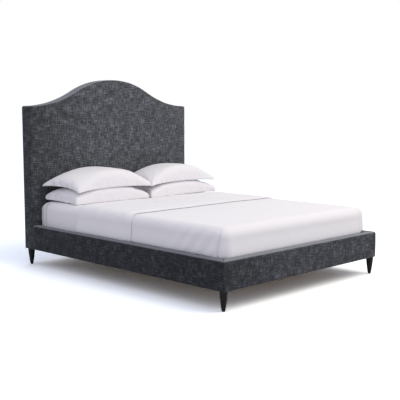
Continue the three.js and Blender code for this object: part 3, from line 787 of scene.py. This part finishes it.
def quilted_ticking():
    """Cream damask ticking quilted in 75 mm diamonds: soft puffs between sunk stitch lines."""
    material, tree = new_material("quilted cream ticking")
    cloth = add_node(tree, "ShaderNodeUVMap", {"uv_map": "cloth"}).outputs[0]
    lines = []
    for direction in (1.0, -1.0):
        turned_cloth = add_node(tree, "ShaderNodeMapping", inputs={
            "Vector": cloth, "Rotation": (0.0, 0.0, direction * math.pi / 4),
        })
        wave = add_node(tree, "ShaderNodeTexWave", {"bands_direction": "X"}, {
            "Vector": turned_cloth.outputs[0], "Scale": 2.1, "Distortion": 0.0,
        })
        lines.append(wave.outputs["Fac"])
    puffs = maths(tree, "MULTIPLY", lines[0], lines[1])
    puffs = maths(tree, "POWER", puffs, 0.4)
    weave = noise(tree, {"Vector": cloth, "Scale": 500.0})
    tone = mixed(tree, weave, "#DDD8CD", "#F0ECE2")
    relief = bump(tree, puffs, 0.8, 0.006)
    return shaded(material, tree, {
        "Base Color": tone, "Roughness": 0.85, "Sheen Weight": 0.15,
        "Normal": relief,
    })


def rim_walk(columns, rows, corner_steps, closed):
    """Walks round a grid of columns x rows points, from the head end of its left side down, along
    the foot and up the right side, and when closed along the head too. Gives each step's point
    number and its outward normal; at a corner the normal turns while the point stays."""
    left = np.arange(rows)[::-1] * columns
    foot = np.arange(columns)
    right = np.arange(rows) * columns + columns - 1
    head = (rows - 1) * columns + np.arange(columns)[::-1]
    sides = [(left, math.pi), (foot, 1.5 * math.pi), (right, 2 * math.pi)]
    if closed:
        sides.append((head, 2.5 * math.pi))
    numbers, angles = [], []
    turn = np.linspace(0, math.pi / 2, corner_steps + 2)[1:-1]
    for place, (side, angle) in enumerate(sides):
        numbers.append(side)
        angles.append(np.full(len(side), angle))
        if closed or place < len(sides) - 1:
            numbers.append(np.full(corner_steps, side[-1]))
            angles.append(angle + turn)
    if closed:
        numbers.append(left[:1])
        angles.append([3 * math.pi])
    angles = np.concatenate(angles)
    normal = np.stack([np.cos(angles), np.sin(angles)], 1)
    # At the head the corners are pressed squarer against the headboard than a quarter circle.
    squarer = np.where(normal[:, 1] > 1e-9, np.abs(normal).max(axis=1) ** -0.85, 1.0)
    return np.concatenate(numbers), normal * squarer[:, None]


def without_doubles(quads, turned_over=False):
    """Quads as a list of faces, where one whose first two corners are the same is a triangle. When
    turned over, they face the other way."""
    pinched = quads[:, 0] == quads[:, 1]
    order = slice(None, None, -1 if turned_over else 1)
    return quads[~pinched][:, order].tolist() + quads[pinched][:, 1:][:, order].tolist()


def mattress_block():
    """A rounded box: the inner box's rim is walked round, and at each step the section goes out from
    the inner rim by R sin a and R cos a, down the side and back under by the same quarter circle.
    The tape edges are two small rolls, 10 mm high, that stand 1.6 mm proud."""
    roll = MATTRESS_ROLL
    x = np.linspace(roll - MATTRESS_HALF_WIDTH, MATTRESS_HALF_WIDTH - roll, 41)
    y = MATTRESS_CENTRE + np.linspace(roll - MATTRESS_HALF_LENGTH, MATTRESS_HALF_LENGTH - roll, 53)
    plan = np.stack(np.meshgrid(x, y), -1).reshape(-1, 2)
    walk, normal = rim_walk(len(x), len(y), 7, closed=True)
    bend = np.linspace(0, math.pi / 2, 9)[1:]
    upper = np.stack([roll * np.sin(bend), MATTRESS_TOP - roll * (1 - np.cos(bend))], 1)
    tape = np.array([[0.0, 0.0], [0.0011, -0.0016], [0.0016, -0.005], [0.0011, -0.0084], [0, -0.01]])
    upper = np.concatenate([upper, [roll, MATTRESS_TOP - roll - 0.004] + tape])
    middle = (MATTRESS_TOP + MATTRESS_BOTTOM) / 2
    lower = upper[::-1] * [1, -1] + [0, 2 * middle]
    section = np.concatenate([upper, np.stack([
        np.full(7, roll), np.linspace(upper[-1, 1], lower[0, 1], 9)[1:-1]], 1), lower])
    out, height = section[:, 0], section[:, 1]
    rings = np.concatenate([
        plan[walk][None] + normal[None] * out[:, None, None],
        np.broadcast_to(height[:, None, None], (len(out), len(walk), 1)),
    ], -1)
    travel = np.cumsum(np.hypot(*np.diff(np.vstack([[0, MATTRESS_TOP], section]), axis=0).T))
    ring_flat = plan[walk][None] + normal[None] * travel[:, None, None]
    count, patch = len(walk), len(plan)
    ring_number = patch + np.arange(len(out) * count).reshape(len(out), count)
    top = np.column_stack([plan, np.full(patch, MATTRESS_TOP)])
    bottom = np.column_stack([plan, np.full(patch, MATTRESS_BOTTOM)])
    below = patch + rings.size // 3
    faces = (
        grid_faces(len(y), len(x)).tolist()
        + grid_faces(len(y), len(x), below)[:, ::-1].tolist()
        + without_doubles(strip_faces(walk, ring_number[0]), turned_over=True)
        + grid_faces(len(out), count, patch)[:, ::-1].tolist()
        + without_doubles(strip_faces(below + walk, ring_number[-1]))
    )
    points = np.concatenate([top, rings.reshape(-1, 3), bottom])
    flat = np.concatenate([plan, ring_flat.reshape(-1, 2), plan])
    return points, faces, flat


mattress_points, mattress_faces, mattress_flat = mattress_block()
mattress = new_piece("quilted_mattress", mattress_points, mattress_faces, quilted_ticking(),
                     mattress_flat)
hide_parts("mattress")


# ---- Fitted sheet --------------------------------------------------------------------------------
# A white cotton percale fitted sheet, its four corners boxed and its edge drawn under the mattress
# by elastic. It shows beside and between the pillows.

def cotton_percale():
    """White percale: a plain weave of 0.3 mm yarns, drawn 2 mm wide, under faint soft creases, with
    hardly any gloss and a cool white that takes the light's colour."""
    material, tree = new_material("white cotton percale")
    cloth = add_node(tree, "ShaderNodeUVMap", {"uv_map": "cloth"}).outputs[0]
    creases = noise(tree, {
        "Vector": scaled(tree, cloth, (5.0, 9.0, 1.0)), "Scale": 1.0, "Detail": 3.0,
        "Roughness": 0.55, "Distortion": 0.4,
    })
    yarns = noise(tree, {
        "Vector": scaled(tree, cloth, (420.0, 420.0, 1.0)), "Scale": 1.0, "Detail": 1.0,
    })
    height = maths(tree, "MULTIPLY_ADD", yarns, 0.06, creases)
    relief = bump(tree, height, 0.35, 0.006)
    tone = mixed(tree, yarns, "#E9E7E9", "#F0EEF0")
    return shaded(material, tree, {
        "Base Color": tone, "Roughness": 0.86, "Specular IOR Level": 0.25,
        "Sheen Weight": 0.08, "Sheen Roughness": 0.5, "Normal": relief,
    })


def smooth(value):
    """0 below 0, 1 above 1 and 3t^2 - 2t^3 between."""
    t = np.clip(value, 0, 1)
    return t * t * (3 - 2 * t)


def rolled_section(edge, bend_steps=8, drop_steps=16):
    """A sheet's section from the top's rim outwards. Each point is a centre height, a direction
    (outwards, upwards) and the angle turned: the cloth lies at centre + direction * (R + offset).
    It turns a quarter circle about the inner rim and then drops straight to the edge."""
    turn = np.linspace(0, math.pi / 2, bend_steps + 1)[1:]
    drop = np.linspace(MATTRESS_TOP - MATTRESS_ROLL, edge, drop_steps + 1)[1:]
    centre = np.concatenate([np.full(bend_steps, MATTRESS_TOP - MATTRESS_ROLL), drop])
    angle = np.concatenate([turn, np.full(drop_steps, math.pi / 2)])
    return centre, np.sin(angle), np.cos(angle), angle


def fitted_sheet():
    """The mattress's rolled shape 3.4 mm further out, down to 8 mm above its underside, where
    elastic draws it in. Diagonal pulls run to the boxed corners."""
    roll = MATTRESS_ROLL
    x = np.linspace(roll - MATTRESS_HALF_WIDTH, MATTRESS_HALF_WIDTH - roll, 61)
    y = MATTRESS_CENTRE + np.linspace(roll - MATTRESS_HALF_LENGTH, MATTRESS_HALF_LENGTH - roll, 81)
    plan = np.stack(np.meshgrid(x, y), -1).reshape(-1, 2)
    walk, normal = rim_walk(len(x), len(y), 7, closed=True)
    centre, out, up, angle = rolled_section(MATTRESS_BOTTOM + 0.008)
    base = plan[walk]
    to_corner = np.hypot(
        MATTRESS_HALF_WIDTH - np.abs(base[:, 0]) - roll,
        MATTRESS_HALF_LENGTH - np.abs(base[:, 1] - MATTRESS_CENTRE) - roll,
    )
    below = (MATTRESS_TOP - centre)[:, None]
    pulls = 0.0012 * np.sin(2 * math.pi * (to_corner[None] + 0.8 * below) / 0.085)
    pulls *= np.exp(-to_corner / 0.16)[None] * (np.sin(angle) ** 2)[:, None]
    soft = ripple(base[:, 0] + base[:, 1], below, (0.0008, 0.33, 0.9, 0.3), (0.0005, 0.21, -0.5, 1.9))
    uneven = pulls + soft * (np.sin(angle) ** 2)[:, None]
    loosest = 0.0008 + 0.003 * smooth((base[:, 1] - 0.5) / 0.05)
    reach = roll + 0.0034 + np.clip(uneven, -0.0005, loosest)
    rings = np.concatenate([
        base[None] + normal[None] * (reach * out[:, None])[..., None],
        (centre[:, None] + reach * up[:, None])[..., None],
    ], -1)
    level = MATTRESS_TOP + 0.0025 + 0.0006 * (
        1 + ripple(plan[:, 0], plan[:, 1], (0.6, 0.50, 0.8, 0.5), (0.4, -0.31, 0.42, 1.4))
    ) * 0.5
    travel = np.concatenate([angle[:8] * roll, roll * math.pi / 2 + (centre[7] - centre[8:])])
    flat = np.concatenate([plan, (base[None] + normal[None] * travel[:, None, None]).reshape(-1, 2)])
    count, patch = len(walk), len(plan)
    points = np.concatenate([np.column_stack([plan, level]), rings.reshape(-1, 3)])
    faces = (
        grid_faces(len(y), len(x)).tolist()
        + without_doubles(strip_faces(walk, patch + np.arange(count)), turned_over=True)
        + grid_faces(len(centre), count, patch)[:, ::-1].tolist()
    )
    return points, faces, flat


percale = cotton_percale()
fitted_points, fitted_faces, fitted_flat = fitted_sheet()
fitted = new_piece("fitted_sheet_percale", fitted_points, fitted_faces, percale, fitted_flat)
thicken(fitted, 0.0012)
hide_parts("fitted_sheet")


# ---- Top sheet -----------------------------------------------------------------------------------
# A flat queen sheet of the same percale, tucked in at the sides and foot with hospital corners. Its
# head end is turned back over itself as a 620 mm cuff that ends in a stitched hem.

SHEET_FOLD = 0.486
SHEET_HEM = -0.134
CORNER_FOLD = -1.003


def side_offset(x, y, height, normal, angle):
    """How far the top sheet stands off the mattress on its sides and foot. It bellies out over the
    rail's top and tucks in below it, and hangs 20 mm slack on the right side only; long soft pulls
    lean from the foot corners; and at the hospital corner the foot's flap, drawn round the corner,
    ends in an edge over the side."""
    side = smooth(angle / (math.pi / 2)) * np.abs(normal[..., 0]) ** 2
    foot = smooth(angle / (math.pi / 2)) * np.maximum(-normal[..., 1], 0) ** 2
    belly = smooth((0.440 - height) / 0.105) * smooth((height - 0.314) / 0.014)
    offset = 0.0058 + 0.0105 * belly * np.maximum(side, 0.8 * foot)
    slack = smooth(angle / (math.pi / 4)) * smooth(normal[..., 0])
    offset = offset + 0.020 * slack * smooth((height - 0.318) / 0.024)
    offset = offset + side * ripple(y, height, (0.0009, 0.56, 1.4, 0.2), (0.0006, 0.31, -0.8, 2.4))
    offset = offset + foot * ripple(x, height, (0.0007, 0.61, 1.9, 0.9), (0.0005, 0.35, -1.1, 0.1))
    pulls = 0.5 + 0.5 * np.sin(2 * math.pi * (y + 0.62 * height + 0.05) / 0.118)
    where = smooth((y + 1.00) / 0.05) * smooth((-0.42 - y) / 0.35) * smooth((0.50 - height) / 0.07)
    offset = offset + 0.0085 * side * where * pulls * smooth((height - 0.30) / 0.07)
    round_corner = MATTRESS_ROLL * np.arctan2(np.maximum(-normal[..., 1], 0), np.abs(normal[..., 0]))
    past = CORNER_FOLD - 0.06 * (height - 0.40) - (y - round_corner)
    flap = smooth(past / 0.0018) * np.exp(-np.maximum(past, 0) / 0.09)
    crease = np.exp(-((np.abs(past + 0.0075) / 0.0066) ** 3))
    near = smooth(angle / (math.pi / 2)) * smooth((past + 0.16) / 0.12)
    near = near * np.exp(-np.maximum(past, 0) / 0.06)
    below = smooth((0.500 - height) / 0.02)
    return offset + below * near * (0.0080 + 0.0022 * flap - 0.0130 * crease)


def top_level(x, y):
    """Height of the sheet on top of the mattress: long, soft, shallow waves."""
    waves = ripple(x, y, (0.0006, 0.75, 0.62, 0.3), (0.0005, -0.52, 0.37, 1.9), (0.0003, 0.29, 0.8, 4.0))
    return 0.0058 + waves * smooth((MATTRESS_HALF_WIDTH - 0.05 - np.abs(x)) / 0.12)


def top_sheet():
    """First the laid part, a flat patch with a skirt walked round three sides. Then, row by row, the
    whole width goes round a half circle of radius h/2 at the fold and back as the cuff, which
    floats h over the sheet under it, sinks towards its hem and is thicker over the hem's width."""
    roll = MATTRESS_ROLL
    inner_foot = MATTRESS_CENTRE - MATTRESS_HALF_LENGTH + roll
    x = np.linspace(roll - MATTRESS_HALF_WIDTH, MATTRESS_HALF_WIDTH - roll, 91)
    y = np.concatenate([
        np.linspace(inner_foot, inner_foot + 0.030, 16)[:-1],
        np.linspace(inner_foot + 0.030, SHEET_FOLD, 150),
    ])
    plan = np.stack(np.meshgrid(x, y), -1).reshape(-1, 2)
    walk, normal = rim_walk(len(x), len(y), 61, closed=False)
    centre, out, up, angle = rolled_section(MATTRESS_BOTTOM + 0.006, drop_steps=26)
    base = plan[walk]
    height = centre + up * (roll + 0.0058)
    offset = side_offset(
        base[None, :, 0], base[None, :, 1], height[:, None], normal[None], angle[:, None]
    )
    rim_level = top_level(base[:, 0], base[:, 1])
    blend = smooth(angle / (math.pi / 3))[:, None]
    reach = roll + offset * blend + rim_level[None] * (1 - blend)
    rings = np.concatenate([
        base[None] + normal[None] * (reach * out[:, None])[..., None],
        (centre[:, None] + reach * up[:, None])[..., None],
    ], -1)
    level = MATTRESS_TOP + top_level(plan[:, 0], plan[:, 1])
    count, patch, lines = len(walk), len(plan), len(centre)
    ring_number = patch + np.arange(lines * count).reshape(lines, count)
    travel = np.concatenate([angle[:8] * roll, roll * math.pi / 2 + (centre[7] - centre[8:])])
    laid_flat = (base[None] + normal[None] * travel[:, None, None]).reshape(-1, 2)
    faces = (
        grid_faces(len(y), len(x)).tolist()
        + without_doubles(strip_faces(walk, ring_number[0]), turned_over=True)
        + grid_faces(lines, count, patch)[:, ::-1].tolist()
    )

    # Across the bed at the fold: up the left side, over the top, down the right side.
    last_row = (len(y) - 1) * len(x) + np.arange(len(x))
    start = np.concatenate([ring_number[::-1, 0], last_row, ring_number[:, -1]])
    across_x = np.concatenate([np.full(lines, x[0]), x, np.full(lines, x[-1])])
    across_z = np.concatenate([centre[::-1], np.full(len(x), MATTRESS_TOP - roll), centre])
    across_out = np.concatenate([-out[::-1], np.zeros(len(x)), out])
    across_up = np.concatenate([up[::-1], np.ones(len(x)), up])
    stand = np.concatenate([reach[::-1, 0], level[last_row] - MATTRESS_TOP + roll, reach[:, -1]])
    gap = 0.0074 + 0.0030 * np.clip(across_up, 0, 1) ** 2
    curl = np.linspace(0, math.pi, 8)[1:]
    back = np.concatenate([np.linspace(0, 0.88, 60), np.linspace(0.885, 1.0, 22)])[1:]
    place = across_x + across_out * 0.2
    hem = SHEET_HEM - 0.016 * np.abs(place)
    hem = hem + ripple(place, 0 * place, (0.005, 0.83, 1, 0.7), (0.003, 0.37, 1, 2))
    rows_y = np.concatenate([
        SHEET_FOLD + 0.5 * gap[None] * np.sin(curl)[:, None],
        SHEET_FOLD + (hem - SHEET_FOLD)[None] * back[:, None],
    ])
    to_hem = np.maximum(rows_y - hem[None], 0)
    loose = ripple(place[None], rows_y, (0.0011, 2.6, 0.105, 0.4), (0.0009, -1.9, 0.17, 1.2),
                   (0.0010, 0.9, 0.41, 2.0))
    loose = loose * smooth(to_hem / 0.06) * smooth((SHEET_FOLD - rows_y) / 0.05)
    hem_width = 0.025
    hem_band = 0.0008 * smooth((hem_width - to_hem) / 0.002)
    hem_band -= 0.0007 * np.exp(-(((to_hem - hem_width) / 0.0022) ** 2))
    sink = 1 - 0.72 * smooth((0.09 - to_hem) / 0.09)
    over = gap[None] * sink + loose + hem_band
    over[: len(curl)] = 0.5 * gap[None] * (1 - np.cos(curl))[:, None]
    cuff_reach = stand[None] + over
    # Down the sides, the sheet below changes along the bed, and the cuff follows it.
    sides = side_offset(across_x[None], rows_y, across_z[None], np.stack([
        np.sign(across_out) + 0 * rows_y, 0 * rows_y], -1), np.pi / 2)
    sides -= side_offset(across_x, np.full_like(across_x, SHEET_FOLD), across_z, np.stack([
        np.sign(across_out), 0 * across_x], -1), np.pi / 2)[None]
    cuff_reach += np.abs(across_out)[None] * np.clip(sides, -0.002, 0.002)
    tops = top_level(across_x[None], rows_y) - top_level(across_x, SHEET_FOLD + 0 * across_x)[None]
    cuff_reach += np.clip(across_up, 0, 1)[None] * tops
    cuff = np.stack([
        across_x[None] + across_out[None] * cuff_reach, rows_y,
        across_z[None] + across_up[None] * cuff_reach,
    ], -1)
    width = len(across_x)
    cuff_first = patch + lines * count
    cuff_faces = np.concatenate([
        strip_faces(start, cuff_first + np.arange(width)),
        grid_faces(len(rows_y), width, cuff_first),
    ])
    side_travel = np.concatenate([-travel[::-1], np.zeros(len(x)), travel])
    cuff_flat = np.stack([
        np.broadcast_to(across_x + side_travel, rows_y.shape), 2 * SHEET_FOLD - rows_y,
    ], -1)
    points = np.concatenate([
        np.column_stack([plan, level]), rings.reshape(-1, 3), cuff.reshape(-1, 3),
    ])
    flat = np.concatenate([plan, laid_flat, cuff_flat.reshape(-1, 2)])
    return points, faces + cuff_faces.tolist(), flat


top_points, top_faces, top_flat = top_sheet()
top = new_piece("top_sheet_percale", top_points, top_faces, percale, top_flat)
thicken(top, 0.0013)
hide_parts("top_sheet")


# ---- Pillows -------------------------------------------------------------------------------------
# Four polyester-filled queen pillows in white percale cases, in two stacks of two. Each case is two
# panels sewn round a knife edge; the filling puffs it up and puckers the seams.

PILLOW_LENGTH, PILLOW_DEPTH = 0.756, 0.415
POUCH_HALF_LENGTH, POUCH_HALF_DEPTH = 0.405, 0.250
PILLOW_COLUMNS, PILLOW_ROWS = 96, 56


def pouch():
    """Two flat panels of cloth on one u, v grid from -1 to 1, sewn together along the rim, a finger
    apart in the middle. Gives the points, the faces and the point numbers of both panels."""
    rows, columns = PILLOW_ROWS + 1, PILLOW_COLUMNS + 1
    v, u = np.meshgrid(np.linspace(-1, 1, rows), np.linspace(-1, 1, columns), indexing="ij")
    grain = np.random.default_rng(7)
    uneven = grain.normal(0, 0.0006, (2, rows, columns))
    lift = 0.016 * (1 - u**2) * (1 - v**2)
    x, y = POUCH_HALF_LENGTH * u, POUCH_HALF_DEPTH * v
    upper = np.stack([x, y, lift + uneven[0] * (lift > 0)], -1)
    lower = np.stack([x, y, -lift + uneven[1] * (lift > 0)], -1)
    number = np.arange(rows * columns).reshape(rows, columns)
    inside = np.zeros((rows, columns), bool)
    inside[1:-1, 1:-1] = True
    under = number.copy()
    under[inside] = rows * columns + np.arange(inside.sum())
    points = np.concatenate([upper.reshape(-1, 3), lower[inside]])
    quads = grid_faces(rows, columns)
    below = under.reshape(-1)[quads][:, ::-1]
    return points, np.concatenate([quads, below]), number, under


def puffed(points, faces):
    """The pouch blown up by the cloth solver: pressure 2.2, no gravity, frames 1 to 20. The solved
    points are read back, so no Cloth modifier is left."""
    mesh = bpy.data.meshes.new("pillow pouch")
    mesh.from_pydata(points.tolist(), [], faces.tolist())
    piece = bpy.data.objects.new("pillow pouch", mesh)
    bpy.context.scene.collection.objects.link(piece)
    cloth = piece.modifiers.new("cloth", "CLOTH")
    settings = cloth.settings
    settings.quality = 6
    settings.mass = 0.25
    settings.tension_stiffness = 60.0
    settings.compression_stiffness = 12.0
    settings.shear_stiffness = 8.0
    settings.bending_stiffness = 0.05
    settings.use_pressure = True
    settings.uniform_pressure_force = 2.2
    settings.effector_weights.gravity = 0.0
    cloth.collision_settings.use_collision = False
    cloth.point_cache.frame_start = 1
    cloth.point_cache.frame_end = 20
    for step in range(1, 21):
        bpy.context.scene.frame_set(step)
    solved = piece.evaluated_get(bpy.context.evaluated_depsgraph_get()).to_mesh()
    result = np.zeros(len(points) * 3)
    solved.vertices.foreach_get("co", result)
    bpy.context.scene.frame_set(1)
    bpy.data.objects.remove(piece)
    return result.reshape(-1, 3)


pouch_points, pouch_faces, panel_number, under_number = pouch()
solved = puffed(pouch_points, pouch_faces)

panels = []
for numbers, facing in ((panel_number, 1.0), (under_number, -1.0)):
    panel = solved[numbers]
    reach = np.abs(solved[:, :2]).max(0)
    panels.append((panel[..., :2] / reach, facing * panel[..., 2] / (facing * panel[..., 2]).max()))


def pillow(name, centre, top_panel, bottom_panel, flip, pulled, shape):
    """Sets the puffed case down at its place. u, v are the solver's plan position from -1 to 1, and
    puff a panel's height from 0 to 1; shape gives the heights of both panels from them. Each corner
    (front left, front right, rear left, rear right) is pulled by its (x, z), spread bilinearly. A
    flip in u or v gives another pillow, and one alone turns the faces round."""
    placed = []
    for (plan, puff), under in ((top_panel, False), (bottom_panel, True)):
        u, v = plan[..., 0] * flip[0], plan[..., 1] * flip[1]
        share = np.stack([(1 - u) * (1 - v), (1 + u) * (1 - v), (1 - u) * (1 + v), (1 + u) * (1 + v)], -1)
        pull = share / 4 @ np.array(pulled)
        x = centre[0] + PILLOW_LENGTH / 2 * u + pull[..., 0]
        y = centre[1] + PILLOW_DEPTH / 2 * v
        placed.append(np.stack([x, y, shape(u, v, puff, under) + pull[..., 1]], -1))
    top_points, bottom_points = placed
    inside = np.zeros(panel_number.shape, bool)
    inside[1:-1, 1:-1] = True
    points = np.concatenate([top_points.reshape(-1, 3), bottom_points[inside]])
    flat = pouch_points[:, :2] + np.where(
        np.arange(len(points)) < panel_number.size, 0.0, 1.3
    )[:, None]
    faces = pouch_faces if flip[0] * flip[1] > 0 else pouch_faces[:, ::-1]
    case = new_piece(name, points, faces, percale, flat + 3.0 * centre[0])
    smooth_cloth = case.modifiers.new("smooth", "SUBSURF")
    smooth_cloth.levels = 1
    smooth_cloth.render_levels = 1
    return case, top_points, bottom_points


SHEET_LEVEL = MATTRESS_TOP + 0.0025 + 0.0008


def case_end(u):
    """1 over the filling, and 8% less beyond u = 0.62, where the open end of the case is empty."""
    return 1 - 0.08 * smooth((u - 0.62) / 0.05)


def lower_shape(u, v, puff, under):
    """The rim lies 5 mm over the sheet and the underside on it. The crown is 124 mm high, flattened
    by the pillow above, with steep sides: it goes as the square root of the puff."""
    if under:
        return SHEET_LEVEL + 0.0005 + 0.0045 * (1 - smooth(puff / 0.15))
    crown = np.maximum(puff, 0) ** 0.5 * (1 - 0.30 * np.abs(u) ** 2) * case_end(u)
    return SHEET_LEVEL + 0.005 + 0.124 * crown


def upper_shape(u, v, puff, under):
    """The rim is 100 mm up at the corners and 26 mm higher between them, as it drapes over the lower
    pillow. The crown stands 136 mm over that, goes as puff^0.7 and falls by 0.52 |u - 0.06|^2.1."""
    rim = 0.611 + 0.026 * (1 - u**2 * v**2)
    if under:
        return rim - 0.014 * puff
    crown = np.maximum(puff, 0) ** 0.7 * (1 - 0.52 * np.abs(u - 0.06) ** 2.1) * case_end(u)
    return rim + 0.136 * crown


for side, centre, flip, lower_pulled, upper_pulled in (
    ("left", (-0.345, 0.7745), (1.0, 1.0), ((0.0, 0.0), (0.0, 0.0), (-0.012, 0.016), (0.0, 0.0)),
     ((0.026, -0.010), (0.040, -0.004), (-0.042, 0.026), (0.0, 0.006))),
    ("right", (0.412, 0.7505), (-1.0, 1.0), ((0.0, 0.0), (0.018, 0.006), (0.0, 0.0), (0.0, 0.0)),
     ((0.0, 0.0), (0.004, 0.006), (0.0, 0.0), (0.0, 0.0))),
):
    lower, lower_top, _ = pillow(
        f"pillow_case_lower_{side}", centre, panels[1], panels[0], flip, lower_pulled, lower_shape
    )
    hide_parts(f"pillow_lower_{side}")

    def resting_shape(u, v, puff, under):
        """The upper pillow's heights, kept about 4 mm clear of the lower pillow's top."""
        free = upper_shape(u, v, puff, under)
        return np.maximum(free, lower_top[..., 2] + 0.004) if under else free

    upper, _, _ = pillow(
        f"pillow_case_upper_{side}", centre, panels[0], panels[1], flip, upper_pulled, resting_shape
    )
    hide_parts(f"pillow_upper_{side}")
